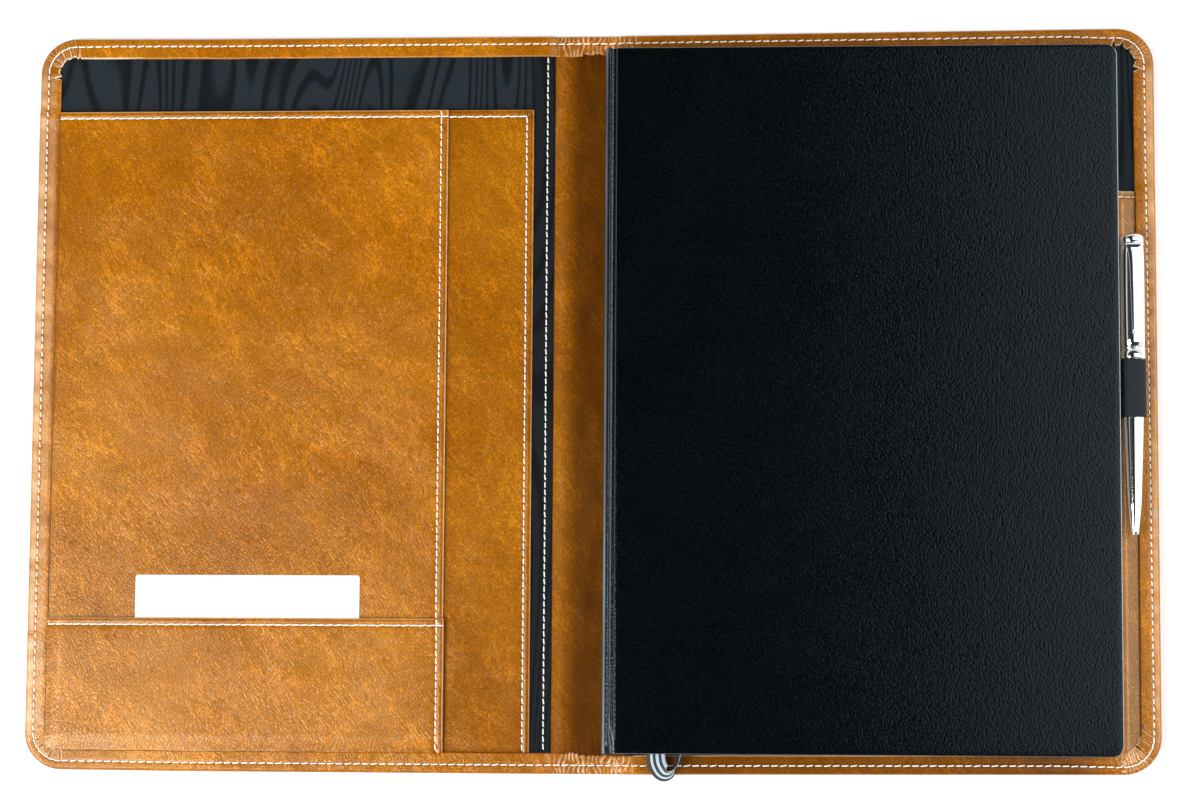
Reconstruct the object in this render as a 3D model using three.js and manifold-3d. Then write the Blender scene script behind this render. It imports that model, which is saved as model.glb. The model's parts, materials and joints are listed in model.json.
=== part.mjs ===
// An A4 leather notebook folder, lying open: a tan wrap-around cover with pockets in its left half. Its
// right half holds a casebound notebook, tucked under a slip pocket, with a ribbon marker, and a twist pen
// in a loop.
//
// Millimetres, +Z up. The origin is the middle of the open folder's underside. +X runs across the open folder
// from its left cover to its right cover, and +Y runs from its tail to its head.

import * as THREE from 'three';
import { mergeVertices } from 'three/addons/utils/BufferGeometryUtils.js';
import Module from 'manifold-3d';

const wasm = await Module();
wasm.setup();

// Folder, overall: it reaches past the notebook by a margin for the pen, and by its turned-in leather
const foreEdgeMargin = 17;
const cornerRadius = 16;
const edgeRound = 1.3;

// Thickness of each layer
const coverLeather = 1.0;
const hingeLeather = 0.9;
const coverBoard = 1.5;
const liningCloth = 0.3;
const pocketSheet = 0.8;
const cardStock = 0.3;
const notebookBackBoard = 1.6;
const notebookFrontBoard = 1.8;
const endpaper = 0.2;
const textBlockDepth = 5.4;
const frontSectionDepth = 1.5;
const flyleafSheet = 0.2;
const ribbonThickness = 0.4;

// Clearances
const glueGap = 0.1;
const slipGap = 0.2;
const ribbonGap = 0.1;
const foldGap = 0.1;
const closedGap = 0.5;
const spineToNotebookGap = 1.2;

// Turned-in leather edge
const turnInLeft = 9.3;
const turnInLeftEnds = 9.0;
const turnInRight = 8.9;
const turnInRightEnds = 8.2;
const pleatCount = 5;
const pleatNotch = 1.3;
const pleatSteps = 7;
const cornerSteps = 8;
const turnInFoldSetback = 0.2;
const highRimRamp = 2.0;

// Linings and boards beside the two folds
const liningSetback = 2.4;
const rightLiningSetback = 9.2;
const boardBehindLining = 1.8;
const coreInset = 1.3;
const liningInset = 2.4;
const hingeStripGap = 0.5;

// Pockets of the left cover
const pocketSetDown = 33.0;
const backPocketSetback = 9.2;
const frontPocketReach = 181.0;
const pocketMarginInset = 2.6;
const pocketMarginGap = 0.3;
const pocketToTurnIn = 0.2;
const cardPocketDepth = 65.4;
const cardPocketStep = 0.4;
const cardPocketSeam = 4.0;
const cardWidth = 97.5;
const cardHeight = 60.0;
const cardFromEdge = 96.0;
const cardShows = 18.4;
const cardCorner = 1.0;

// Notebook
const notebookWidth = 219;
const notebookHeight = 303;
const notebookLeft = 7.0;
const notebookCorner = 5.0;
const boardSquare = 3.0;
const notebookSpineWall = 1.5;
const notebookSpineFlange = 3.8;
const notebookSpineRound = 3.0;
const jointGroove = 1.2;
const boardEdgeRound = 0.5;
const leafFromSpine = 6.0;
const blockFromSpine = 2.0;
const notebookEndGap = 0.3;
const headBandRadius = 0.6;

// Slip pocket for the notebook's back board
const slipPocketSetDown = 70.2;
const slipPocketReach = 86.0;
const slipPocketDrape = 2.6;
const slipPocketSeam = 8.6;
const slipPocketTailGap = 0.9;

// Pen, measured along its length from the top of its crown
const penFromNotebook = 6.0;
const penSetDown = 89.2;
const crownLength = 4.7;
const crownRadius = 5.05;
const crownStudRadius = 2.0;
const crownStudLength = 4.5;
const crownDome = 2.6;
const clipWasher = 0.8;
const upperBarrelRadius = 5.25;
const upperBarrelEnd = 49.3;
const upperBarrelSwell = 0.12;
const barrelShoulder = 0.3;
const barrelWall = 0.9;
const barrelCap = 3.0;
const ringLength = 4.9;
const ringRadius = 5.3;
const ringGrooveFrom = 0.7;
const ringGrooveWidth = 0.5;
const ringGrooveDepth = 0.2;
const ringTaper = 0.6;
const lowerBarrelRadius = 4.75;
const lowerBarrelEndRadius = 3.2;
const lowerBarrelEnd = 116.0;
const noseEnd = 128.8;
const noseEndRadius = 1.55;
const noseWaist = 5.2;
const noseWaistRadius = 2.45;
const noseLip = 1.2;
const noseThroat = 3.0;
const mechanismTop = 24.0;
const mechanismEnd = 63.0;
const mechanismRadius = 3.5;
const mechanismBore = 1.9;
const mechanismNeck = 8.0;
const mechanismStep = 0.5;
const refillRadius = 1.6;
const refillTop = 54.0;
const refillShoulder = 113.0;
const refillTipRadius = 1.05;
const refillEnd = 128.2;
const refillPointLength = 3.5;
const refillPointRadius = 0.4;
const penPartGap = 0.15;
const penRunningGap = 0.2;
const clipEnd = 43.8;
const clipThickness = 0.7;
const clipLift = 1.55;
const clipBallRadius = 0.7;

// Pen loop
const loopFromPenTop = 54.6;
const loopWidth = 24.8;
const loopElastic = 0.5;
const loopGap = 0.2;
const loopTailMargin = 0.5;
const loopTailHeel = 0.4;
const loopNotchGap = 0.8;

// Ribbon marker: its width, and the points that its middle line follows
const ribbonWidth = 7.6;
const ribbonStations = 44;
const ribbonRoute = [
  [30.0, -128.0, 11.9],
  [30.0, -138.0, 11.9],
  [30.0, -147.2, 11.9],
  [30.0, -149.8, 11.75],
  [30.0, -152.0, 11.2],
  [30.2, -154.8, 9.8],
  [31.2, -157.6, 8.5],
  [33.2, -159.9, 8.2],
  [35.6, -160.0, 8.4],
  [37.3, -158.0, 8.8],
  [38.6, -155.0, 9.3],
  [39.4, -151.8, 9.7],
  [39.7, -149.1, 10.0],
];
const ribbonTurnStart = 0.55;
const ribbonTurnEnd = 0.80;

// Heights of the layers above the table
const boardZ = coverLeather + glueGap;
const liningZ = boardZ + coverBoard + glueGap;
const liningTop = liningZ + liningCloth;
const turnInZ = liningTop + glueGap;
const turnInTop = turnInZ + coverLeather;
const backPocketZ = liningTop + glueGap;
const backPocketTopZ = backPocketZ + pocketSheet;
const highTurnInZ = backPocketTopZ + glueGap;
const highTurnInTop = highTurnInZ + coverLeather;
const frontPocketZ = backPocketTopZ + glueGap;
const frontPocketTopZ = frontPocketZ + pocketSheet;
const cardZ = frontPocketTopZ + glueGap;
const cardPocketZ = cardZ + cardStock + glueGap;
const cardPocketTopZ = cardPocketZ + pocketSheet;

const backBoardZ = liningTop + slipGap;
const rearEndpaperZ = backBoardZ + notebookBackBoard + glueGap;
const slipPocketZ = rearEndpaperZ + endpaper + glueGap;
const slipPocketTopZ = slipPocketZ + pocketSheet;
const textBlockZ = slipPocketTopZ + slipGap;
const textBlockTopZ = textBlockZ + textBlockDepth;
const frontSectionZ = textBlockTopZ + ribbonThickness + 2 * ribbonGap;
const flyleafZ = frontSectionZ + frontSectionDepth + glueGap;
const frontEndpaperZ = flyleafZ + flyleafSheet + glueGap;
const frontBoardZ = frontEndpaperZ + endpaper + glueGap;
const notebookTopZ = frontBoardZ + notebookFrontBoard;

// Folds: both hinge lines lie on the face of the hinge leather. Their distance lets the left cover, with its
// pockets, close over the notebook.
const foldZ = boardZ + hingeLeather;
const foldSpan = notebookTopZ + closedGap + cardPocketTopZ - 2 * foldZ;
const rightFold = notebookLeft - spineToNotebookGap;
const leftFold = rightFold - foldSpan;

// Places that follow from the sizes above
const notebookRight = notebookLeft + notebookWidth;
const notebookHalf = notebookHeight / 2;
const halfWidth = notebookRight + foreEdgeMargin;
const halfHeight = notebookHalf + notebookEndGap + turnInRightEnds;
const leftLiningEdge = leftFold - liningSetback;
const rightLiningEdge = rightFold + rightLiningSetback;
const leafBindingEdge = notebookLeft + leafFromSpine;
const blockBindingEdge = notebookLeft + blockFromSpine;

const pocketTop = halfHeight - pocketSetDown;
const backPocketEdge = leftLiningEdge - backPocketSetback;
const frontPocketEdge = -halfWidth + frontPocketReach;
const cardPocketTop = -halfHeight + cardPocketDepth;
const cardPocketEdge = frontPocketEdge + cardPocketStep;
const cardMiddle = -halfWidth + cardFromEdge;
const cardTop = cardPocketTop + cardShows;

const slipPocketTop = halfHeight - slipPocketSetDown;
const slipPocketLeft = notebookRight - slipPocketReach;
const slipPocketFlangeStart = notebookRight + notebookEndGap + slipPocketDrape;
const slipPocketFlange = slipPocketFlangeStart + slipPocketSeam;

const penAxisX = notebookRight + penFromNotebook;
const penTop = halfHeight - penSetDown;
const loopHigh = penTop - loopFromPenTop;
const loopTailEnd = slipPocketFlange + loopTailMargin;
const penAxisZ = highTurnInTop + upperBarrelRadius;
const loopInnerRadius = lowerBarrelRadius + loopGap;
const loopOuterRadius = loopInnerRadius + loopElastic;

// Colours and finishes
const tanLeather = { color: 0xb9763a, roughness: 0.55, metalness: 0 };
const moireCloth = { color: 0x2a2e33, roughness: 0.45, metalness: 0 };
const greyBoard = { color: 0x8d8274, roughness: 0.9, metalness: 0 };
const whiteCard = { color: 0xf2f1ec, roughness: 0.6, metalness: 0 };
const blackCasing = { color: 0x101318, roughness: 0.5, metalness: 0 };
const creamPaper = { color: 0xf1eee2, roughness: 0.85, metalness: 0 };
const blackPaper = { color: 0x15171b, roughness: 0.8, metalness: 0 };
const stripedRibbon = { color: 0x8f8f90, roughness: 0.6, metalness: 0 };
const blackElastic = { color: 0x181a1e, roughness: 0.8, metalness: 0 };
const chromePlate = { color: 0xd9dcdf, roughness: 0.08, metalness: 1 };
const brassMetal = { color: 0xb98f45, roughness: 0.3, metalness: 1 };

const notebook = new THREE.Group();

function add(name, geometry, look, parent = notebook) {
  const mesh = new THREE.Mesh(geometry, new THREE.MeshStandardMaterial(look));
  mesh.name = name;
  parent.add(mesh);
  return mesh;
}

// Geometry helpers

function welded(geometry) {
  const copy = geometry.clone();
  copy.deleteAttribute('normal');
  copy.deleteAttribute('uv');
  return mergeVertices(copy, 1e-4);
}

function toSolid(geometry) {
  const merged = welded(geometry);
  return new wasm.Manifold(new wasm.Mesh({
    numProp: 3,
    vertProperties: new Float32Array(merged.attributes.position.array),
    triVerts: new Uint32Array(merged.index.array),
  }));
}

function toGeometry(solid) {
  const mesh = solid.getMesh();
  const geometry = new THREE.BufferGeometry();
  geometry.setAttribute('position', new THREE.BufferAttribute(new Float32Array(mesh.vertProperties), 3));
  geometry.setIndex(new THREE.BufferAttribute(new Uint32Array(mesh.triVerts), 1));
  return geometry;
}

// A body through rings of equal length, each a list of [x, y, z], counter-clockwise seen from the last ring.
// The flat outline that its two ends are filled by is the first ring seen from above, unless one is given.
function loft(rings, endOutline = rings[0]) {
  const count = rings[0].length;
  const positions = rings.flat(2);
  const index = [];
  for (let ring = 0; ring + 1 < rings.length; ring += 1) {
    for (let i = 0; i < count; i += 1) {
      const a = ring * count + i;
      const b = ring * count + (i + 1) % count;
      index.push(a, b, b + count, a, b + count, a + count);
    }
  }
  const last = (rings.length - 1) * count;
  const flatEnd = endOutline.map(([x, y]) => new THREE.Vector2(x, y));
  for (const [a, b, c] of THREE.ShapeUtils.triangulateShape(flatEnd, [])) {
    index.push(a, c, b, last + a, last + b, last + c);
  }
  const geometry = new THREE.BufferGeometry();
  geometry.setAttribute('position', new THREE.Float32BufferAttribute(positions, 3));
  geometry.setIndex(index);
  return geometry;
}

// An upright prism on an outline of [x, y] points.
function prism(outline, lowZ, highZ) {
  const shape = new THREE.Shape(outline.map(([x, y]) => new THREE.Vector2(x, y)));
  const geometry = new THREE.ExtrudeGeometry(shape, { depth: highZ - lowZ, bevelEnabled: false });
  return welded(geometry.translate(0, 0, lowZ));
}

// A section of [x, z] points, drawn as seen from the tail, carried from lowY to highY.
function alongY(section, lowY, highY, hole = null) {
  const shape = new THREE.Shape(section.map(([x, z]) => new THREE.Vector2(x, z)));
  if (hole) shape.holes.push(new THREE.Path(hole.map(([x, z]) => new THREE.Vector2(x, z))));
  const geometry = new THREE.ExtrudeGeometry(shape, { depth: highY - lowY, bevelEnabled: false });
  return welded(geometry.rotateX(Math.PI / 2).translate(0, highY, 0));
}

// A section of [y, z] points carried from lowX to highX.
function alongX(section, lowX, highX) {
  const shape = new THREE.Shape(section.map(([y, z]) => new THREE.Vector2(y, z)));
  const geometry = new THREE.ExtrudeGeometry(shape, { depth: highX - lowX, bevelEnabled: false });
  const turned = new THREE.Matrix4().set(0, 0, 1, lowX, 1, 0, 0, 0, 0, 1, 0, 0, 0, 0, 0, 1);
  return welded(geometry.applyMatrix4(turned));
}

function box(lowX, highX, lowY, highY, lowZ, highZ) {
  return prism([[lowX, lowY], [highX, lowY], [highX, highY], [lowX, highY]], lowZ, highZ);
}

function arc(centreX, centreY, radius, from, to, steps) {
  const points = [];
  for (let i = 0; i <= steps; i += 1) {
    const angle = from + (to - from) * i / steps;
    points.push([centreX + radius * Math.cos(angle), centreY + radius * Math.sin(angle)]);
  }
  return points;
}

function mirrored(points) {
  return points.map(([x, ...rest]) => [-x, ...rest]).reverse();
}

// The outline of one cover: square at its fold, round at its two outer corners. The sides away from the fold
// can be drawn in by an inset. A left cover is a mirrored right one.
function coverOutline(side, foldX, inset) {
  const outer = halfWidth - inset;
  const high = halfHeight - inset;
  const radius = cornerRadius - inset;
  const right = [
    [side * foldX, -high],
    ...arc(outer - radius, -high + radius, radius, -Math.PI / 2, 0, cornerSteps),
    ...arc(outer - radius, high - radius, radius, 0, Math.PI / 2, cornerSteps),
    [side * foldX, high],
  ];
  return side > 0 ? right : mirrored(right);
}

// The inner edge of a turned-in cover. At each outer corner the leather is gathered in pleats, which end in
// short fingers with notches between them.
function windowOutline(side, foldX, turnIn, turnInEnds, notch, shrink = 0) {
  const centreX = halfWidth - cornerRadius;
  const centreY = halfHeight - cornerRadius;
  const radiusX = cornerRadius - turnIn - shrink;
  const radiusY = cornerRadius - turnInEnds - shrink;
  const steps = pleatCount * pleatSteps;
  const corner = (sign) => {
    const points = [];
    for (let i = 0; i <= steps; i += 1) {
      const share = sign < 0 ? i / steps : 1 - i / steps;
      const angle = share * Math.PI / 2;
      const alongFinger = share * pleatCount % 1;
      const cut = notch * Math.abs(2 * alongFinger - 1) ** 5;
      const x = centreX + (radiusX + cut) * Math.sin(angle);
      const y = centreY + (radiusY + cut) * Math.cos(angle);
      points.push([x, sign * y]);
    }
    return points;
  };
  const right = [
    [side * foldX, -centreY - radiusY],
    ...corner(-1),
    ...corner(1),
    [side * foldX, centreY + radiusY],
  ];
  return side > 0 ? right : mirrored(right);
}

function roundedPlate(lowX, highX, lowY, highY, lowZ, highZ, radius, leftSquare = false) {
  const ring = (inset, z) => {
    const r = Math.max(radius - inset, 0.05);
    const l = leftSquare ? 0.05 : r;
    const [x0, x1, y0, y1] = [lowX + inset, highX - inset, lowY + inset, highY - inset];
    return [
      ...arc(x0 + l, y0 + l, l, Math.PI, 1.5 * Math.PI, 4),
      ...arc(x1 - r, y0 + r, r, -Math.PI / 2, 0, 4),
      ...arc(x1 - r, y1 - r, r, 0, Math.PI / 2, 4),
      ...arc(x0 + l, y1 - l, l, Math.PI / 2, Math.PI, 4),
    ].map(([x, y]) => [x, y, z]);
  };
  const round = boardEdgeRound;
  return loft([
    ring(round, lowZ),
    ring(0.3 * round, lowZ + 0.3 * round),
    ring(0, lowZ + round),
    ring(0, highZ - round),
    ring(0.3 * round, highZ - 0.3 * round),
    ring(round, highZ),
  ]);
}

function lathe(profile, segments = 28) {
  const points = profile.map(([radius, along]) => new THREE.Vector2(radius, -along)).reverse();
  return welded(new THREE.LatheGeometry(points, segments));
}

// Leather covers

// A slab with rounded outer edges, as high as the turned-in leather on it.
function coverSlab(side, foldX, height) {
  const rings = [];
  const steps = 4;
  for (let i = 0; i <= steps; i += 1) {
    const angle = i / steps * Math.PI / 2;
    rings.push([edgeRound * (1 - Math.sin(angle)), edgeRound * (1 - Math.cos(angle))]);
  }
  const top = rings.map(([inset, z]) => [inset, height - z]).reverse();
  return loft([...rings, ...top].map(
    ([inset, z]) => coverOutline(side, foldX, inset).map(([x, y]) => [x, y, z]),
  ));
}

// Where a pocket's margin lies under the turned-in leather, the leather steps up over it on a short ramp.
function steppedZone(side, nearX, topY) {
  const far = halfWidth + highRimRamp;
  const low = halfHeight + highRimRamp;
  const ring = (grow, z) => {
    const near = side * nearX - grow;
    const right = [[near, -low], [far, -low], [far, topY + grow], [near, topY + grow]];
    return (side > 0 ? right : mirrored(right)).map(([x, y]) => [x, y, z]);
  };
  return loft([ring(highRimRamp, turnInTop - glueGap), ring(0, highTurnInTop + glueGap)]);
}

function leatherCover(side, { foldX, turnIn, turnInEnds, marginX, marginTop }) {
  const cut = 2 * highTurnInTop;
  const past = foldX - side * 2 * foldGap;
  const turnInStart = foldX + side * (turnInTop - foldZ + turnInFoldSetback);
  const endBox = [Math.min(past, turnInStart), Math.max(past, turnInStart)];
  const low = toSolid(coverSlab(side, foldX + side * foldGap, turnInTop));
  const high = toSolid(coverSlab(side, foldX + side * foldGap, highTurnInTop));
  const zone = toSolid(steppedZone(side, marginX - side * pocketMarginGap, marginTop + pocketMarginGap));
  const core = toSolid(prism(coverOutline(side, past, coverLeather), coverLeather, turnInZ));
  const window = toSolid(prism(windowOutline(side, past, turnIn, turnInEnds, pleatNotch), coverLeather, cut));
  const marginOutline = coverOutline(side, past, pocketMarginInset - pocketMarginGap);
  const margin = toSolid(prism(marginOutline, coverLeather, highTurnInZ));
  const far = side * (halfWidth + 1);
  const marginStart = marginX - side * pocketMarginGap;
  const marginArea = toSolid(box(
    Math.min(marginStart, far), Math.max(marginStart, far),
    -halfHeight, marginTop + pocketMarginGap, 0, cut,
  ));
  const foldEnd = toSolid(box(endBox[0], endBox[1], -halfHeight - 1, halfHeight + 1, coverLeather, cut));
  return toGeometry(low
    .add(high.intersect(zone))
    .subtract(core)
    .subtract(window)
    .subtract(margin.intersect(marginArea))
    .subtract(foldEnd));
}

// A flat layer inside a cover: from the cover's outer edges, drawn in by an inset, to a straight edge at
// nearX.
function coverLayer(side, nearX, inset, lowZ, highZ) {
  return prism(coverOutline(side, nearX, inset), lowZ, highZ);
}

const leftCover = { foldX: leftFold, turnIn: turnInLeft, turnInEnds: turnInLeftEnds };
const rightCover = { foldX: rightFold, turnIn: turnInRight, turnInEnds: turnInRightEnds };

add('left_outer_leather', leatherCover(-1, {
  ...leftCover, marginX: backPocketEdge, marginTop: pocketTop,
}), tanLeather);
add('right_outer_leather', leatherCover(1, {
  ...rightCover, marginX: slipPocketFlangeStart, marginTop: slipPocketTop,
}), tanLeather);

const leftBoardEdge = leftLiningEdge - boardBehindLining;
const rightBoardEdge = rightLiningEdge + boardBehindLining;
add('left_cover_board', coverLayer(-1, leftBoardEdge, coreInset, boardZ, boardZ + coverBoard), greyBoard);
add('right_cover_board', coverLayer(1, rightBoardEdge, coreInset, boardZ, boardZ + coverBoard), greyBoard);
add('left_lining', coverLayer(-1, leftLiningEdge, liningInset, liningZ, liningTop), moireCloth);
add('right_lining', coverLayer(1, rightLiningEdge, liningInset, liningZ, liningTop), moireCloth);

// Spine: an outer skin with its ends turned in, and the hinge leather that covers the gutter, in three strips
// that meet on the fold lines.
function spineOuterLeather() {
  const top = foldZ + glueGap + coverLeather;
  const inner = halfHeight - coverLeather;
  const round = (from, centreY) => arc(centreY, top - edgeRound, edgeRound, from, from + Math.PI / 2, 3);
  const edge = halfHeight - edgeRound;
  const hem = halfHeight - turnInRightEnds;
  const section = [
    [-edge, 0], [edge, 0], [halfHeight, edgeRound],
    ...round(0, edge),
    [hem, top], [hem, foldZ + glueGap], [inner, foldZ + glueGap], [inner, coverLeather],
    [-inner, coverLeather], [-inner, foldZ + glueGap], [-hem, foldZ + glueGap], [-hem, top],
    ...round(Math.PI / 2, -edge),
    [-halfHeight, edgeRound],
  ];
  const setback = top - foldZ + turnInFoldSetback;
  const turned = toSolid(alongX(section, leftFold + setback, rightFold - setback));
  const skinEdge = 0.6 * coverLeather;
  const skinTop = halfHeight - 0.3 * coverLeather;
  const sheet = [
    [-edge, 0], [edge, 0], [halfHeight, skinEdge], [skinTop, coverLeather],
    [-skinTop, coverLeather], [-halfHeight, skinEdge],
  ];
  return toGeometry(turned.add(toSolid(alongX(sheet, leftFold + foldGap, rightFold - foldGap))));
}

const stripHalf = halfHeight - coverLeather - hingeStripGap;

function hingeStrip(lowX, highX) {
  return box(lowX, highX, -stripHalf, stripHalf, boardZ, foldZ);
}

add('spine_outer_leather', spineOuterLeather(), tanLeather);
add('spine_inner_leather', hingeStrip(leftFold + foldGap, rightFold - foldGap), tanLeather);
add('left_hinge_strip', hingeStrip(leftBoardEdge + slipGap, leftFold - foldGap), tanLeather);
add('right_hinge_strip', hingeStrip(rightFold + foldGap, rightBoardEdge - slipGap), tanLeather);

// Pockets of the left cover. The back pocket's margin runs under the turned-in leather. The front pocket and
// the card pocket end against it.
function backPocket() {
  const whole = toSolid(coverLayer(-1, backPocketEdge, pocketMarginInset, backPocketZ, backPocketTopZ));
  const keep = box(-halfWidth, backPocketEdge + 1, -halfHeight, pocketTop, 0, cardPocketTopZ);
  return toGeometry(whole.intersect(toSolid(keep)));
}

function insidePocket(edgeX, topY, lowZ, highZ) {
  const outline = windowOutline(-1, edgeX, turnInLeft, turnInLeftEnds, 0, pocketToTurnIn);
  const keep = box(-halfWidth, edgeX + 1, -halfHeight, topY, 0, 2 * cardPocketTopZ);
  return toSolid(prism(outline, lowZ, highZ)).intersect(toSolid(keep));
}

// The card pocket stands on a seam along its two sides and its bottom, so a card slides in from the top.
function cardPocket() {
  const whole = insidePocket(cardPocketEdge, cardPocketTop, cardZ, cardPocketTopZ);
  const seamLeft = -halfWidth + turnInLeft + pocketToTurnIn + cardPocketSeam;
  const seamBottom = -halfHeight + turnInLeftEnds + pocketToTurnIn + cardPocketSeam;
  const seamRight = cardPocketEdge - cardPocketSeam;
  const inside = box(seamLeft, seamRight, seamBottom, cardPocketTop + 1, 0, cardPocketZ);
  return toGeometry(whole.subtract(toSolid(inside)));
}

add('document_pocket_back', backPocket(), tanLeather);
add('document_pocket_front', toGeometry(
  insidePocket(frontPocketEdge, pocketTop, frontPocketZ, frontPocketTopZ),
), tanLeather);
add('card_pocket', cardPocket(), tanLeather);

function businessCard() {
  const [left, right] = [cardMiddle - cardWidth / 2, cardMiddle + cardWidth / 2];
  const [low, high] = [cardTop - cardHeight, cardTop];
  const r = cardCorner;
  const outline = [
    ...arc(left + r, low + r, r, Math.PI, 1.5 * Math.PI, 3),
    ...arc(right - r, low + r, r, -Math.PI / 2, 0, 3),
    ...arc(right - r, high - r, r, 0, Math.PI / 2, 3),
    ...arc(left + r, high - r, r, Math.PI / 2, Math.PI, 3),
  ];
  return prism(outline, cardZ, cardZ + cardStock);
}

add('business_card', businessCard(), whiteCard);

// Slip pocket: it lies over the notebook's back board, drops past its fore edge to the lining, and its flange
// runs under the turned-in leather. A notch in the flange lets the pen loop's tail through.
function slipPocket() {
  const drop = notebookRight + notebookEndGap;
  const section = [
    [slipPocketLeft, slipPocketZ],
    [drop, slipPocketZ],
    [slipPocketFlangeStart, turnInZ],
    [slipPocketFlange, turnInZ],
    [slipPocketFlange, turnInZ + pocketSheet],
    [slipPocketFlangeStart + pocketSheet / 2, turnInZ + pocketSheet],
    [drop + pocketSheet / 2, slipPocketTopZ],
    [slipPocketLeft, slipPocketTopZ],
  ];
  const tail = -halfHeight + turnInRightEnds + slipPocketTailGap;
  const notch = box(
    penAxisX - loopNotchGap, slipPocketFlange + 1,
    loopHigh - loopWidth - loopNotchGap, loopHigh + loopNotchGap, 0, highTurnInTop,
  );
  return toGeometry(toSolid(alongY(section, tail, slipPocketTop)).subtract(toSolid(notch)));
}

add('notebook_pocket', slipPocket(), tanLeather);

// Notebook

const boardLeft = notebookLeft + notebookSpineFlange + jointGroove;
const blockRight = notebookRight - boardSquare;
const blockHalf = notebookHalf - boardSquare;

function notebookBoard(lowZ, highZ) {
  return roundedPlate(
    boardLeft, notebookRight, -notebookHalf, notebookHalf, lowZ, highZ, notebookCorner, true,
  );
}

function leaves(leftX, lowZ, highZ) {
  return box(leftX, blockRight, -blockHalf, blockHalf, lowZ, highZ);
}

// The casing's spine: a channel with round outer edges, open towards the pages.
function notebookSpine() {
  const [left, right] = [notebookLeft, notebookLeft + notebookSpineFlange];
  const [low, high] = [backBoardZ, notebookTopZ];
  const outer = notebookSpineRound;
  const inner = notebookSpineRound - notebookSpineWall;
  const wall = notebookSpineWall;
  const section = [
    [right, low + wall],
    ...arc(left + outer, low + outer, inner, 1.5 * Math.PI, Math.PI, 4),
    ...arc(left + outer, high - outer, inner, Math.PI, Math.PI / 2, 4),
    [right, high - wall],
    [right, high],
    ...arc(left + outer, high - outer, outer, Math.PI / 2, Math.PI, 5),
    ...arc(left + outer, low + outer, outer, Math.PI, 1.5 * Math.PI, 5),
    [right, low],
  ];
  return alongY(section, -notebookHalf, notebookHalf);
}

// A rolled band at one end of the pages' bound edge.
function endBand(sign) {
  const band = new THREE.CylinderGeometry(headBandRadius, headBandRadius, textBlockDepth, 10);
  const x = blockBindingEdge + headBandRadius;
  const y = sign * (blockHalf + headBandRadius + glueGap);
  return welded(band.rotateX(Math.PI / 2).translate(x, y, textBlockZ + textBlockDepth / 2));
}

add('notebook_back_board', notebookBoard(backBoardZ, backBoardZ + notebookBackBoard), blackCasing);
add('notebook_spine', notebookSpine(), blackCasing);
add('notebook_front_board', notebookBoard(frontBoardZ, notebookTopZ), blackCasing);
add('rear_endpaper', leaves(leafBindingEdge, rearEndpaperZ, rearEndpaperZ + endpaper), blackPaper);
add('text_block', leaves(blockBindingEdge, textBlockZ, textBlockTopZ), creamPaper);
add('front_section', leaves(leafBindingEdge, frontSectionZ, frontSectionZ + frontSectionDepth), creamPaper);
add('flyleaf', leaves(leafBindingEdge, flyleafZ, flyleafZ + flyleafSheet), creamPaper);
add('front_endpaper', leaves(leafBindingEdge, frontEndpaperZ, frontEndpaperZ + endpaper), blackPaper);
add('head_band', endBand(1), stripedRibbon);
add('tail_band', endBand(-1), stripedRibbon);

// Ribbon marker: a flat band that leaves the pages at the tail, turns on edge in its loop and comes back.
function ribbonMarker() {
  const curve = new THREE.CatmullRomCurve3(
    ribbonRoute.map(([x, y, z]) => new THREE.Vector3(x, y, z)), false, 'centripetal',
  );
  const half = ribbonWidth / 2;
  const thin = ribbonThickness / 2;
  const soft = 0.6;
  const section = [
    [-half, 0], [-half + soft, -thin], [0, -thin], [half - soft, -thin],
    [half, 0], [half - soft, thin], [0, thin], [-half + soft, thin],
  ];
  const rings = [];
  for (let i = 0; i <= ribbonStations; i += 1) {
    const share = i / ribbonStations;
    const middle = curve.getPointAt(share);
    const forward = curve.getTangentAt(share);
    const turn = THREE.MathUtils.smoothstep(share, ribbonTurnStart, ribbonTurnEnd) * Math.PI / 2;
    const flat = new THREE.Vector3(0, 0, 1).cross(forward).normalize();
    const upright = forward.clone().cross(flat).normalize();
    const wide = flat.clone().multiplyScalar(Math.cos(turn)).addScaledVector(upright, Math.sin(turn));
    const thick = forward.clone().cross(wide).normalize();
    rings.push(section.map(([w, t]) => (
      middle.clone().addScaledVector(wide, w).addScaledVector(thick, t).toArray()
    )));
  }
  return loft(rings, section);
}

add('ribbon_marker', ribbonMarker(), stripedRibbon);

// Pen. Its group's origin is the top of the crown, and the pen runs down along -Y.

const pen = new THREE.Group();
pen.position.set(penAxisX, penTop, penAxisZ);
notebook.add(pen);

const washerTop = crownLength + penPartGap;
const barrelTop = washerTop + clipWasher + penPartGap;
const barrelBore = upperBarrelRadius - barrelWall;
const ringTop = upperBarrelEnd + penPartGap;
const ringEnd = ringTop + ringLength;
const lowerBarrelTop = ringEnd + penPartGap;
const noseTop = lowerBarrelEnd + penPartGap;
const refillClearBore = refillRadius + 2.5 * penRunningGap;

function penCrown() {
  const dome = [];
  for (let i = 0; i <= 7; i += 1) {
    const angle = i / 7 * Math.PI / 2;
    dome.push([crownRadius * Math.sin(angle), crownDome * (1 - Math.cos(angle))]);
  }
  return lathe([
    ...dome,
    [crownRadius, crownLength],
    [crownStudRadius, crownLength],
    [crownStudRadius, crownLength + crownStudLength],
    [0, crownLength + crownStudLength],
  ]);
}

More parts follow.
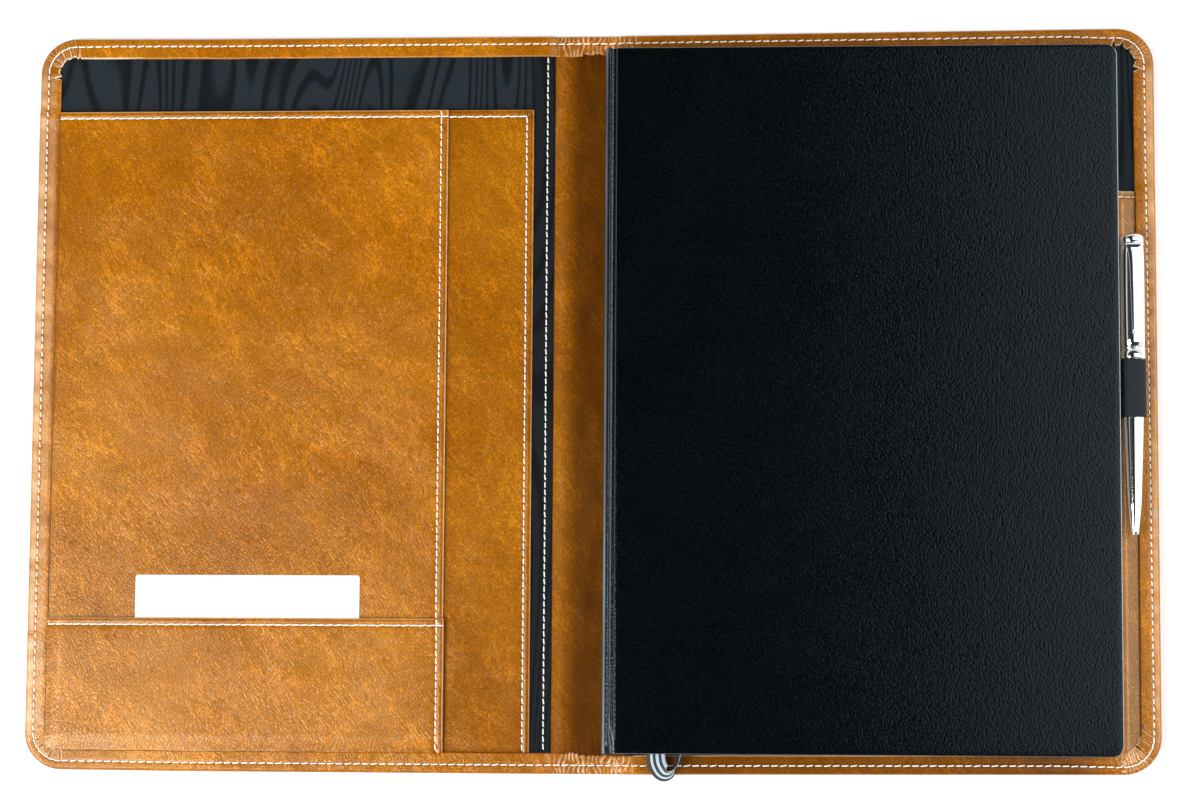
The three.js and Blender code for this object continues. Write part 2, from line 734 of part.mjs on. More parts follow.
// The upper barrel swells slightly, and its top is closed round the crown's stud.
function penUpperBarrel() {
  const shoulder = barrelTop + barrelShoulder;
  const outer = [];
  for (let i = 0; i <= 6; i += 1) {
    const share = i / 6;
    const radius = upperBarrelRadius - upperBarrelSwell * (1 - Math.sin(share * Math.PI));
    outer.push([radius, shoulder + share * (upperBarrelEnd - shoulder)]);
  }
  const studBore = crownStudRadius + penPartGap;
  return lathe([
    [studBore, barrelTop],
    [upperBarrelRadius - upperBarrelSwell - barrelShoulder, barrelTop],
    ...outer,
    [barrelBore, upperBarrelEnd],
    [barrelBore, barrelTop + barrelCap],
    [studBore, barrelTop + barrelCap],
    [studBore, barrelTop],
  ]);
}

// The centre ring carries the twist mechanism, so its bore fits round that.
function penCentreRing() {
  const bore = mechanismRadius + penPartGap;
  const grooveRadius = ringRadius - ringGrooveDepth;
  const grooveTop = ringTop + ringGrooveFrom;
  const grooveEnd = grooveTop + ringGrooveWidth;
  const grooveSlope = ringGrooveDepth / 2;
  return lathe([
    [bore, ringTop],
    [ringRadius, ringTop],
    [ringRadius, grooveTop],
    [grooveRadius, grooveTop + grooveSlope],
    [grooveRadius, grooveEnd - grooveSlope],
    [ringRadius, grooveEnd],
    [ringRadius - grooveSlope, ringEnd - ringTaper],
    [lowerBarrelRadius + grooveSlope, ringEnd],
    [bore, ringEnd],
    [bore, ringTop],
  ]);
}

// A stepped sleeve with the spiral cam inside; it turns the lower barrel's twist into the refill's travel.
function penTwistMechanism() {
  const neckRadius = mechanismRadius - mechanismStep;
  const neckEnd = mechanismTop + mechanismNeck;
  return lathe([
    [mechanismBore, mechanismTop],
    [neckRadius, mechanismTop],
    [neckRadius, neckEnd],
    [mechanismRadius, neckEnd + mechanismStep],
    [mechanismRadius, mechanismEnd - 4 * mechanismStep],
    [neckRadius, mechanismEnd],
    [mechanismBore, mechanismEnd],
    [mechanismBore, mechanismTop],
  ], 20);
}

function lowerRadiusAt(share) {
  return lowerBarrelRadius - (lowerBarrelRadius - lowerBarrelEndRadius) * share ** 1.6;
}

function penLowerBarrel() {
  const outer = [];
  for (let i = 0; i <= 9; i += 1) {
    const share = i / 9;
    outer.push([lowerRadiusAt(share), lowerBarrelTop + share * (lowerBarrelEnd - lowerBarrelTop)]);
  }
  const wide = mechanismRadius + penRunningGap;
  return lathe([
    ...outer,
    [refillClearBore, lowerBarrelEnd],
    [refillClearBore, mechanismEnd + mechanismNeck],
    [wide, mechanismEnd + barrelCap],
    [wide, lowerBarrelTop],
    [lowerBarrelRadius, lowerBarrelTop],
  ]);
}

function penNoseCone() {
  const bore = refillTipRadius + penRunningGap;
  return lathe([
    [refillClearBore, noseTop],
    [lowerBarrelEndRadius, noseTop],
    [noseWaistRadius, noseTop + noseWaist],
    [noseEndRadius + noseLip / 10, noseEnd - noseLip],
    [noseEndRadius, noseEnd],
    [bore, noseEnd],
    [bore, noseEnd - noseThroat],
    [refillRadius + penRunningGap, noseTop + noseThroat],
    [refillClearBore, noseTop],
  ]);
}

function penRefill() {
  return lathe([
    [0, refillTop],
    [refillRadius, refillTop],
    [refillRadius, refillShoulder],
    [refillTipRadius, refillShoulder + refillTipRadius],
    [refillTipRadius, refillEnd - refillPointLength],
    [refillPointRadius, refillEnd - refillPointRadius],
    [0, refillEnd],
  ], 16);
}

// The clip: a washer under the crown, and a tapering arm that rises from it, runs along the barrel and ends
// in a small ball that presses on the barrel. Each station of the arm is [along, height, width].
function penClip() {
  const washer = lathe([
    [crownStudRadius + penPartGap, washerTop],
    [upperBarrelRadius, washerTop],
    [upperBarrelRadius, washerTop + clipWasher],
    [crownStudRadius + penPartGap, washerTop + clipWasher],
    [crownStudRadius + penPartGap, washerTop],
  ]);
  const root = washerTop + clipWasher / 2;
  const crest = upperBarrelRadius + clipLift;
  const tip = upperBarrelRadius + penPartGap + clipBallRadius;
  const stations = [
    [root, upperBarrelRadius - 2.0, 7.6],
    [root, upperBarrelRadius + 0.3, 7.0],
    [root + 0.8, crest - 0.4, 6.2],
    [root + 2.4, crest, 5.0],
    [root + 5.5, crest - 0.02, 3.9],
    [root + 14, crest - 0.25, 3.2],
    [root + 26, tip + 0.3, 2.5],
    [clipEnd - 3, tip + 0.1, 1.9],
    [clipEnd, tip + 0.25, 1.5],
  ];
  const thin = clipThickness / 2;
  const section = [
    [-1, -0.4 * thin], [-0.7, -thin], [0.7, -thin], [1, -0.4 * thin],
    [1, 0.2 * thin], [0.6, thin], [-0.6, thin], [-1, 0.2 * thin],
  ];
  const rings = stations.map(([along, height, width], i) => {
    const before = stations[Math.max(i - 1, 0)];
    const after = stations[Math.min(i + 1, stations.length - 1)];
    const slope = Math.atan2(after[1] - before[1], after[0] - before[0]);
    return section.map(([w, t]) => [
      w * width / 2, -(along - t * Math.sin(slope)), height + t * Math.cos(slope),
    ]);
  });
  const arm = loft(rings, section);
  const ball = new THREE.SphereGeometry(clipBallRadius, 12, 8);
  ball.translate(0, -clipEnd + 2 * clipBallRadius, tip);
  return toGeometry(toSolid(washer).add(toSolid(arm)).add(toSolid(ball)));
}

add('pen_crown', penCrown(), chromePlate, pen);
add('pen_clip', penClip(), chromePlate, pen);
add('pen_upper_barrel', penUpperBarrel(), chromePlate, pen);
add('pen_centre_ring', penCentreRing(), chromePlate, pen);
add('pen_twist_mechanism', penTwistMechanism(), brassMetal, pen);
add('pen_lower_barrel', penLowerBarrel(), chromePlate, pen);
add('pen_nose_cone', penNoseCone(), chromePlate, pen);
add('pen_refill', penRefill(), brassMetal, pen);

// Pen loop: an elastic band round the lower barrel, with its two ends together under the turned-in leather.
function penLoop() {
  const tailTop = turnInZ + pocketSheet;
  const windowEdge = halfWidth - turnInRight;
  const neckRight = -0.42 * Math.PI;
  const neckLeft = -0.6 * Math.PI;
  const outer = [
    ...arc(penAxisX, penAxisZ, loopOuterRadius, neckRight, neckLeft + 2 * Math.PI, 30),
    [penAxisX + loopTailHeel, turnInZ],
    [loopTailEnd, turnInZ],
    [loopTailEnd, tailTop],
    [windowEdge - slipGap, tailTop],
  ];
  const inner = arc(penAxisX, penAxisZ, loopInnerRadius, 0, 2 * Math.PI, 30).slice(0, -1);
  return alongY(outer, loopHigh - loopWidth, loopHigh, inner);
}

add('pen_loop', penLoop(), blackElastic);

export default notebook;
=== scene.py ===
"""The looks of an open A4 leather notebook folder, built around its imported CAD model.

Sizes and places are in millimetres, in the frame of the model, and become metres where a mesh is made.
"""

import json
import math

import bmesh
import bpy
import numpy as np
from mathutils import Matrix, Vector


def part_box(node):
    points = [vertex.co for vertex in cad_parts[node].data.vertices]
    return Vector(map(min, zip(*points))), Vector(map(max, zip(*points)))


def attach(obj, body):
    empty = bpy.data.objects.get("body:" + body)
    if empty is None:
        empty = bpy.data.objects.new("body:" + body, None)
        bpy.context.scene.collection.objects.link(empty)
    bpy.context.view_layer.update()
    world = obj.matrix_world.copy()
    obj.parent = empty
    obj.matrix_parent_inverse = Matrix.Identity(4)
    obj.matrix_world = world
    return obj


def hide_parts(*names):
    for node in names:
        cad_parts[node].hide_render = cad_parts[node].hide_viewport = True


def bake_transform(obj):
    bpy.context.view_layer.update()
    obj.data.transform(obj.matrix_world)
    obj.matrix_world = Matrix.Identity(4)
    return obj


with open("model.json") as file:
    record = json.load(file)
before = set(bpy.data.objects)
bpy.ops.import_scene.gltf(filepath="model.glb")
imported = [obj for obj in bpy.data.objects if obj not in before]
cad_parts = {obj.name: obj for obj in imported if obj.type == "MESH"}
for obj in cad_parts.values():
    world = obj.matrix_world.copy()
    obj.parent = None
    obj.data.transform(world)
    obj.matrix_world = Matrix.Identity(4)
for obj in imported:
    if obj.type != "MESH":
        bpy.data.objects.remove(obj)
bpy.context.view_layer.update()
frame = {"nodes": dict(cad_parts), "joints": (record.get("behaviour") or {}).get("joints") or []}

MM = 0.001
LEATHER_SLANT = -48.0


def corners(node):
    """A CAD node's lowest and highest corner, in millimetres."""
    return [[value / MM for value in corner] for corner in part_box(node)]


# Camera: fitted to the edges of the folder and of the notebook in the 1200 by 812 photograph
CAMERA_AT = (87.0, -127.55, 1288.2)
CAMERA_TARGET = (4.83, -2.73, 3.0)
CAMERA_ROLL = 0.347
CAMERA_LENS = 90.0

# Outer leather
HALF_WIDTH, HALF_HEIGHT, HIGH_RIM = corners("right_outer_leather")[1]
CORNER_RADIUS = 16.0
EDGE_ROUND = 1.3
TURN_IN = {"left": 9.3, "left_ends": 9.0, "right": 8.9, "right_ends": 8.2}
LOW_RIM = 4.1
SPINE_RIM = corners("spine_outer_leather")[1][2]
RIM_STITCH = 3.3

# Folds
HINGES = {joint["name"]: joint["pos_m"] for joint in frame["joints"] if joint["type"] == "hinge"}
RIGHT_FOLD = HINGES["spine_fold"][0] / MM
LEFT_FOLD = HINGES["cover_fold"][0] / MM
FOLD_Z = HINGES["spine_fold"][2] / MM
SPINE_MIDDLE = (LEFT_FOLD + RIGHT_FOLD) / 2

# Layers inside the covers
LINING_TOP = corners("left_lining")[1][2]
LINING_EDGE = {"left": corners("left_lining")[1][0], "right": corners("right_lining")[0][0]}
BACK_POCKET_EDGE, POCKET_TOP, BACK_POCKET_Z = corners("document_pocket_back")[1]
FRONT_POCKET_EDGE, _, FRONT_POCKET_Z = corners("document_pocket_front")[1]
CARD_POCKET_EDGE, CARD_POCKET_TOP, CARD_POCKET_Z = corners("card_pocket")[1]
SLIP_LEFT, SLIP_LOW = corners("notebook_pocket")[0][:2]
SLIP_FLANGE, SLIP_TOP, SLIP_Z = corners("notebook_pocket")[1]
POCKET_SHEET = 0.8
WINDOW_LEFT = -HALF_WIDTH + TURN_IN["left"]
WINDOW_LOW = -HALF_HEIGHT + TURN_IN["left_ends"]


def srgb(red, green, blue):
    """A display colour of 0 to 255 as a linear one with full alpha."""
    linear = []
    for value in (red, green, blue):
        share = value / 255
        linear.append(share / 12.92 if share <= 0.04045 else ((share + 0.055) / 1.055) ** 2.4)
    return (*linear, 1.0)


# Mesh helpers


def smoothstep(low, high, value):
    """A soft step from 0 at low to 1 at high."""
    share = np.clip((value - low) / (high - low), 0, 1)
    return share * share * (3 - 2 * share)


def ripple(x, y, size, seed=0):
    """Smooth waves that look random, about size across, from -1 to 1."""
    total = 0.0
    for wave in range(6):
        angle = 2.4 * wave + 1.7 * seed
        length = size * (0.7 + 0.13 * wave)
        total = total + np.sin(
            2 * np.pi * (x * math.cos(angle) + y * math.sin(angle)) / length + 5.1 * wave + 3.3 * seed
        )
    return total / 3.5


def ridge(value, width):
    """A round ridge of height 1 where the value is 0, that fades over about a width."""
    return np.exp(-((value / width) ** 2))


def arc(centre, radius, start, end, steps):
    """Points on an arc about a centre, with angles in degrees."""
    angles = [math.radians(start + (end - start) * step / steps) for step in range(steps + 1)]
    return [(centre[0] + radius * math.cos(angle), centre[1] + radius * math.sin(angle)) for angle in angles]


def full_circle(count):
    """Angles all the way round, with the last one short of the first."""
    return np.linspace(0, 2 * math.pi, count, endpoint=False)


def spaced(start, end, step):
    """Evenly spaced numbers from start to end, about a step apart."""
    return np.linspace(start, end, max(2, int(round(abs(end - start) / step)) + 1))


def with_rows(places, *more):
    """The places in order, with more rows among them."""
    return np.unique(np.concatenate([places, *more]))


def edged(start, end, step, start_free=False, end_free=False):
    """As spaced, with close rows at a free end, where a cut edge is rounded."""
    near = np.array([0.08, 0.2, 0.45, 0.9])
    close = [start + near] * start_free + [end - near] * end_free
    return with_rows(spaced(start, end, step), *close)


def grid_faces(rows, columns, start=0, close=False, flip=False):
    """Quads over a grid of points. They face up where columns run along +X and rows along +Y."""
    index = start + np.arange(rows * columns).reshape(rows, columns)
    if close:
        index = np.hstack([index, index[:, :1]])
    quads = np.stack([index[:-1, :-1], index[:-1, 1:], index[1:, 1:], index[1:, :-1]], -1).reshape(-1, 4)
    return (quads[:, ::-1] if flip else quads).tolist()


def make_mesh(name, points, faces, material, tone=None, across=None, weld=False):
    """A smooth mesh object from points in millimetres. Each point keeps its place at rest for the textures,
    and a tone from -1 to 1: below 0 painted shade, above 0 a pale cut edge or a painted highlight."""
    points = np.asarray(points, float) * MM
    mesh = bpy.data.meshes.new(name)
    mesh.from_pydata(points.tolist(), [], faces)
    rest = mesh.attributes.new("rest", "FLOAT_VECTOR", "POINT")
    rest.data.foreach_set("vector", points.astype(np.float32).ravel())
    for key, value in {"tone": tone, "across": across}.items():
        if value is not None:
            layer = mesh.attributes.new(key, "FLOAT", "POINT")
            layer.data.foreach_set("value", np.asarray(value, np.float32).ravel())
    if weld:
        shape = bmesh.new()
        shape.from_mesh(mesh)
        bmesh.ops.remove_doubles(shape, verts=shape.verts, dist=1e-7)
        shape.to_mesh(mesh)
        shape.free()
    mesh.shade_smooth()
    piece = bpy.data.objects.new(name, mesh)
    bpy.context.scene.collection.objects.link(piece)
    mesh.materials.append(material)
    return piece


def panel(name, x, y, top, bottom, material, tone):
    """A closed sheet over a grid, between two heights given for every point. Its walls have points of their
    own, so they don't bend the light on its faces."""
    rows, columns = top.shape
    points = [np.stack([x, y, height], -1).reshape(-1, 3) for height in (top, bottom)]
    count = rows * columns
    faces = grid_faces(rows, columns) + grid_faces(rows, columns, start=count, flip=True)
    index = np.arange(count).reshape(rows, columns)
    border = np.array([*index[0, :-1], *index[:-1, -1], *index[-1, :0:-1], *index[:0:-1, 0]])
    points += [points[0][border], points[1][border]]
    around = len(border)
    for here in range(around):
        following = (here + 1) % around
        upper, lower = 2 * count, 2 * count + around
        faces.append([upper + here, lower + here, lower + following, upper + following])
    tone = tone.ravel()
    tones = np.concatenate([tone, tone, tone[border], tone[border]])
    return make_mesh(name, np.concatenate(points), faces, material, tones)


def rings_mesh(name, rings, material, close_ends=True, **values):
    """A body through rings of equal length, each going round once."""
    rings = np.asarray(rings, float)
    count, around = rings.shape[:2]
    faces = grid_faces(count, around, close=True)
    if close_ends:
        faces.append(list(range(around))[::-1])
        faces.append(list(range((count - 1) * around, count * around)))
    return make_mesh(name, rings.reshape(-1, 3), faces, material, **values)


def smooth_line(points, step):
    """Points about a step apart on a centripetal Catmull-Rom line through the given ones."""
    points = [np.array(point, float) for point in points]
    points = [2 * points[0] - points[1], *points, 2 * points[-1] - points[-2]]
    line = []
    for before, start, end, after in zip(points, points[1:], points[2:], points[3:]):
        knots = [0.0]
        for low, high in ((before, start), (start, end), (end, after)):
            knots.append(knots[-1] + max(np.linalg.norm(high - low), 1e-6) ** 0.5)
        for t in np.linspace(knots[1], knots[2], 24, endpoint=False):
            level = [before, start, end, after]
            for reach in (1, 2, 3):
                level = [
                    ((knots[i + reach] - t) * level[i] + (t - knots[i]) * level[i + 1])
                    / (knots[i + reach] - knots[i])
                    for i in range(len(level) - 1)
                ]
            line.append(level[0])
    line.append(points[-2])
    line = np.array(line)
    run = np.concatenate([[0], np.cumsum(np.linalg.norm(np.diff(line, axis=0), axis=1))])
    wanted = np.linspace(0, run[-1], max(2, int(round(run[-1] / step)) + 1))
    return np.stack([np.interp(wanted, run, line[:, axis]) for axis in range(line.shape[1])], -1)


def hand_over(piece, slot, *nodes, body=None):
    """Ties a piece to a body and hides the CAD nodes that it replaces. The slot is not used."""
    if body:
        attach(piece, body)
    if nodes:
        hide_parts(*nodes)


# Material helpers


def new_material(name):
    """A material, its node tree and its shader."""
    material = bpy.data.materials.new(name)
    material.use_nodes = True
    return material, material.node_tree, material.node_tree.nodes["Principled BSDF"]


def node(tree, kind, inputs=None, **settings):
    """A shader node. Each input, by its name or its number, is a value or another node's output."""
    made = tree.nodes.new("ShaderNode" + kind)
    for key, value in settings.items():
        setattr(made, key, value)
    for key, value in (inputs or {}).items():
        if isinstance(value, bpy.types.NodeSocket):
            tree.links.new(value, made.inputs[key])
        else:
            made.inputs[key].default_value = value
    return made


def ramp(tree, factor, stops, kind="LINEAR"):
    """A colour ramp; each stop is a place and a colour."""
    made = node(tree, "ValToRGB", {"Fac": factor})
    made.color_ramp.interpolation = kind
    elements = made.color_ramp.elements
    while len(elements) < len(stops):
        elements.new(0.5)
    for element, (place, colour) in zip(elements, stops):
        element.position = place
        element.color = colour
    return made.outputs["Color"]


def grey(level):
    """A linear grey."""
    return (level, level, level, 1.0)


def mix(tree, factor, first, second, blend="MIX"):
    """Two colours mixed. The numbers are those of the node's factor and colour sockets."""
    return node(tree, "Mix", {0: factor, 6: first, 7: second}, data_type="RGBA", blend_type=blend).outputs[2]


def math_node(tree, operation, first, second=0.0, third=0.0, clamp=False):
    """The outcome of an operation on up to three values."""
    values = {0: first, 1: second, 2: third}
    return node(tree, "Math", values, operation=operation, use_clamp=clamp).outputs[0]


def rest_place(tree, stretch=(1.0, 1.0, 1.0), turn=0.0, drift=0.0):
    """Each point's place at rest, so that textures stay put when a piece bends. The pattern is turned by an
    angle, longer by the stretch along its own axes, and pulled about by the drift, in metres."""
    place = node(tree, "Attribute", attribute_name="rest").outputs["Vector"]
    if drift:
        pull = node(tree, "TexNoise", {"Vector": place, "Scale": 16.0, "Detail": 2.0}).outputs["Color"]
        pull = node(tree, "VectorMath", {0: pull, 1: (0.5, 0.5, 0.5)}, operation="SUBTRACT").outputs[0]
        pull = node(tree, "VectorMath", {0: pull, "Scale": drift}, operation="SCALE").outputs[0]
        place = node(tree, "VectorMath", {0: place, 1: pull}, operation="ADD").outputs[0]
    placing = {"Vector": place, "Scale": stretch, "Rotation": (0.0, 0.0, math.radians(turn))}
    return node(tree, "Mapping", placing, vector_type="TEXTURE").outputs["Vector"]


def object_place(tree, stretch=(1.0, 1.0, 1.0)):
    """Each point's place in the frame of its object, for pieces that don't bend."""
    place = node(tree, "TexCoord").outputs["Object"]
    return node(tree, "Mapping", {"Vector": place, "Scale": stretch}, vector_type="TEXTURE").outputs["Vector"]


def noise(tree, place, scale, detail=3.0, roughness=0.5, distortion=0.0):
    """Clouds from 0 to 1. The scale is how many of them there are to a metre."""
    values = {"Vector": place, "Scale": scale, "Detail": detail, "Roughness": roughness}
    return node(tree, "TexNoise", {**values, "Distortion": distortion}).outputs["Fac"]


def bump(tree, height, depth, strength):
    """A normal that tilts as if the height, of 0 to 1, were a relief of that depth in metres."""
    return node(tree, "Bump", {"Height": height, "Distance": depth, "Strength": strength}).outputs["Normal"]


def attribute(tree, name):
    """The value that each point of a mesh holds under a name."""
    return node(tree, "Attribute", attribute_name=name).outputs["Fac"]


def toned(tree, sign):
    """How dark a point's tone makes it, for the sign -1, or how pale, for 1: from 0 to 1."""
    return math_node(tree, "MULTIPLY", attribute(tree, "tone"), sign, clamp=True)


def valleys(tree, value):
    """A noise folded at its middle, so that it is 0 along thin winding lines."""
    return math_node(tree, "ABSOLUTE", math_node(tree, "MULTIPLY_ADD", value, 2.0, -1.0))


def waves(tree, place, scale, distortion=0.0, direction="X"):
    """Even bands across a direction, from 0 to 1."""
    values = {"Vector": place, "Scale": scale, "Distortion": distortion}
    return node(tree, "TexWave", values, bands_direction=direction).outputs["Fac"]


def tan_leather():
    """Waxed cowhide: cloudy tan, small raised cells between dark grooves, and pale wrinkles, short and long.
    All of it is drawn out along one slant. A dark tone is painted shade and makes it smoother, and a pale one
    is a cut edge or a painted highlight."""
    material, tree, shader = new_material("tan_leather")
    clouds = noise(tree, rest_place(tree, (1.6, 1.0, 1.0), LEATHER_SLANT), 14.0, 3.0, 0.5, 0.3)
    blotches = noise(tree, rest_place(tree, (1.5, 1.0, 1.0), LEATHER_SLANT), 85.0, 4.0, 0.6)
    shade = math_node(tree, "MULTIPLY_ADD", blotches, 0.22, math_node(tree, "MULTIPLY", clouds, 0.78))
    base = ramp(tree, shade, [
        (0.3, srgb(136, 75, 1)), (0.45, srgb(146, 84, 1)),
        (0.58, srgb(156, 93, 2)), (0.74, srgb(170, 108, 4)),
    ])
    place = rest_place(tree, (1.5, 0.95, 1.0), LEATHER_SLANT, 0.014)
    cells = node(
        tree, "TexVoronoi", {"Vector": place, "Scale": 820.0, "Randomness": 0.9}, feature="DISTANCE_TO_EDGE",
    )
    cells = ramp(tree, cells.outputs["Distance"], [(0.0, grey(0.0)), (0.12, grey(0.7)), (0.35, grey(1.0))])
    fine = noise(tree, rest_place(tree, (1.5, 0.8, 1.0), LEATHER_SLANT, 0.014), 900.0, 3.0, 0.6)
    pebbles = math_node(tree, "MULTIPLY_ADD", cells, 0.5, math_node(tree, "MULTIPLY", fine, 0.45))

    where = ramp(tree, blotches, [(0.36, grey(0.25)), (0.62, grey(1.0))])
    place = rest_place(tree, (2.4, 1.0, 1.0), LEATHER_SLANT - 6.0, 0.02)
    short = valleys(tree, noise(tree, place, 400.0, 3.0, 0.55, 0.4))
    short = ramp(tree, short, [(0.0, grey(1.0)), (0.09, grey(0.35)), (0.3, grey(0.0))])
    short = math_node(tree, "MULTIPLY", short, where)
    place = rest_place(tree, (4.5, 1.0, 1.0), LEATHER_SLANT - 10.0, 0.03)
    long = valleys(tree, noise(tree, place, 210.0, 2.0, 0.5, 0.5))
    long = ramp(tree, long, [(0.0, grey(1.0)), (0.05, grey(0.3)), (0.12, grey(0.0))])
    long = math_node(tree, "MULTIPLY", long, where)
    relief = math_node(tree, "MULTIPLY_ADD", short, 0.45, pebbles)
    grain_and_glint = math_node(tree, "MULTIPLY_ADD", short, 0.42, pebbles)
    grain_and_glint = math_node(tree, "MULTIPLY_ADD", long, 0.3, grain_and_glint)
    grain = ramp(tree, grain_and_glint, [(0.2, grey(0.72)), (0.5, grey(1.02)), (0.78, grey(1.24)), (1.2, grey(1.75))])

    colour = mix(tree, 1.0, base, grain, "MULTIPLY")
    # The tone paints shade in dark brown, and cut edges and painted highlights in pale peach.
    dark = toned(tree, -1.0)
    colour = mix(tree, dark, colour, srgb(58, 26, 3))
    colour = mix(tree, toned(tree, 1.0), colour, srgb(250, 222, 182))
    tree.links.new(colour, shader.inputs["Base Color"])
    calm = math_node(tree, "MULTIPLY_ADD", dark, -1.2, 0.9, clamp=True)
    tree.links.new(bump(tree, relief, 0.0001, calm), shader.inputs["Normal"])
    rough = ramp(tree, shade, [(0.35, grey(0.19)), (0.65, grey(0.24))])
    tree.links.new(rough, shader.inputs["Roughness"])
    shader.inputs["Specular IOR Level"].default_value = 0.6
    shader.inputs["Specular Tint"].default_value = (1.0, 0.88, 0.62, 1.0)
    return material


def thread():
    """Waxed cream thread, twisted."""
    material, tree, shader = new_material("cream_thread")
    fibres = noise(tree, rest_place(tree), 1500.0)
    colour = ramp(tree, fibres, [(0.3, srgb(244, 239, 226)), (0.7, srgb(255, 253, 246))])
    tree.links.new(colour, shader.inputs["Base Color"])
    twist = waves(tree, rest_place(tree, turn=40.0), 420.0, 1.0)
    tree.links.new(bump(tree, twist, 0.0001, 0.7), shader.inputs["Normal"])
    shader.inputs["Roughness"].default_value = 0.6
    return material


def moire_cloth():
    """Black watermarked cloth: plain stretches between groups of dark wavy lines, and fine ribs across."""
    material, tree, shader = new_material("moire_cloth")
    press = noise(tree, rest_place(tree, (1.0, 9.0, 1.0)), 24.0, 1.0, 0.5)
    lines = math_node(tree, "SINE", math_node(tree, "MULTIPLY", press, 190.0))
    lines = math_node(tree, "MULTIPLY_ADD", lines, 0.5, 0.5)
    lines = ramp(tree, lines, [(0.0, grey(1.0)), (0.16, grey(0.7)), (0.5, grey(0.0))])
    broad = noise(tree, rest_place(tree, (1.0, 3.5, 1.0)), 30.0, 2.0, 0.5)
    fine = noise(tree, rest_place(tree, (1.6, 1.0, 1.0)), 1500.0, 2.0, 0.7)
    water = math_node(tree, "MULTIPLY_ADD", lines, -0.42, 0.64)
    water = math_node(tree, "MULTIPLY_ADD", broad, 0.35, water)
    water = math_node(tree, "MULTIPLY_ADD", fine, 0.42, water)
    colour = ramp(tree, water, [(0.36, srgb(3, 5, 8)), (0.72, srgb(15, 20, 24)), (1.0, srgb(30, 38, 43))])
    # A dark tone is painted shade, towards near black.
    tree.links.new(mix(tree, toned(tree, -1.0), colour, srgb(3, 4, 6)), shader.inputs["Base Color"])
    ribs = waves(tree, rest_place(tree), 500.0, direction="Y")
    tree.links.new(bump(tree, ribs, 0.00003, 0.5), shader.inputs["Normal"])
    shader.inputs["Roughness"].default_value = 0.55
    shader.inputs["Specular IOR Level"].default_value = 0.1
    return material


def leatherette():
    """Black embossed book cloth: small round pebbles that catch the light, pale where a glint is painted on
    it.
    """
    material, tree, shader = new_material("leatherette")
    place = rest_place(tree)
    clouds = noise(tree, place, 30.0, 4.0, 0.6)
    specks = noise(tree, place, 1500.0, 2.0, 0.7)
    shade = math_node(tree, "MULTIPLY_ADD", specks, 0.8, math_node(tree, "MULTIPLY", clouds, 0.2))
    colour = ramp(tree, shade, [(0.38, srgb(0, 1, 2)), (0.66, srgb(11, 14, 18))])
    # A pale tone is a painted glint, in pale blue.
    colour = mix(tree, toned(tree, 1.0), colour, srgb(176, 198, 210))
    tree.links.new(colour, shader.inputs["Base Color"])
    grain = node(tree, "TexVoronoi", {"Vector": place, "Scale": 1100.0}, feature="F1").outputs["Distance"]
    fine = noise(tree, place, 1500.0, 2.0)
    height = math_node(tree, "MULTIPLY_ADD", fine, 0.8, math_node(tree, "MULTIPLY", grain, -1.0))
    tree.links.new(bump(tree, height, 0.00007, 0.9), shader.inputs["Normal"])
    shader.inputs["Roughness"].default_value = 0.12
    shader.inputs["Specular IOR Level"].default_value = 0.32
    shader.inputs["Specular Tint"].default_value = (0.8, 0.96, 1.0, 1.0)
    return material


def paper(name, low, high, lines=0.0):
    """Paper with a faint fibre, and with the edges of its sheets where lines are given."""
    material, tree, shader = new_material(name)
    fibres = noise(tree, object_place(tree), 900.0, 4.0)
    tree.links.new(ramp(tree, fibres, [(0.3, low), (0.7, high)]), shader.inputs["Base Color"])
    if lines:
        sheets = waves(tree, object_place(tree, (50.0, 50.0, 1.0)), lines, 0.6, "Z")
        tree.links.new(bump(tree, sheets, 0.00012, 0.8), shader.inputs["Normal"])
    else:
        tree.links.new(bump(tree, fibres, 0.00002, 0.5), shader.inputs["Normal"])
    shader.inputs["Roughness"].default_value = 0.75
    return material


def metal(name, colour, roughness):
    """Plated metal with the faint polishing marks of a turned part."""
    material, tree, shader = new_material(name)
    shader.inputs["Metallic"].default_value = 1.0
    marks = noise(tree, object_place(tree, (6.0, 1.0, 6.0)), 2500.0, 2.0)
    rough = ramp(tree, marks, [(0.3, grey(roughness * 0.8)), (0.7, grey(roughness * 1.3))])
    tree.links.new(rough, shader.inputs["Roughness"])
    brighter = (*(min(1.0, part * 1.04) for part in colour[:3]), 1.0)
    tree.links.new(ramp(tree, marks, [(0.2, colour), (0.8, brighter)]), shader.inputs["Base Color"])
    return material


def elastic():
    """Black woven elastic: ribs along the pen, crossed by fine picks."""
    material, tree, shader = new_material("woven_elastic")
    ribs = waves(tree, rest_place(tree), 480.0, direction="Y")
    colour = ramp(tree, ribs, [(0.0, srgb(20, 26, 30)), (1.0, srgb(34, 42, 47))])
    tree.links.new(colour, shader.inputs["Base Color"])
    fuzz = noise(tree, rest_place(tree), 1800.0, 3.0)
    height = math_node(tree, "MULTIPLY_ADD", fuzz, 0.4, ribs)
    tree.links.new(bump(tree, height, 0.0002, 0.8), shader.inputs["Normal"])
    shader.inputs["Roughness"].default_value = 0.75
    shader.inputs["Specular IOR Level"].default_value = 0.25
    return material


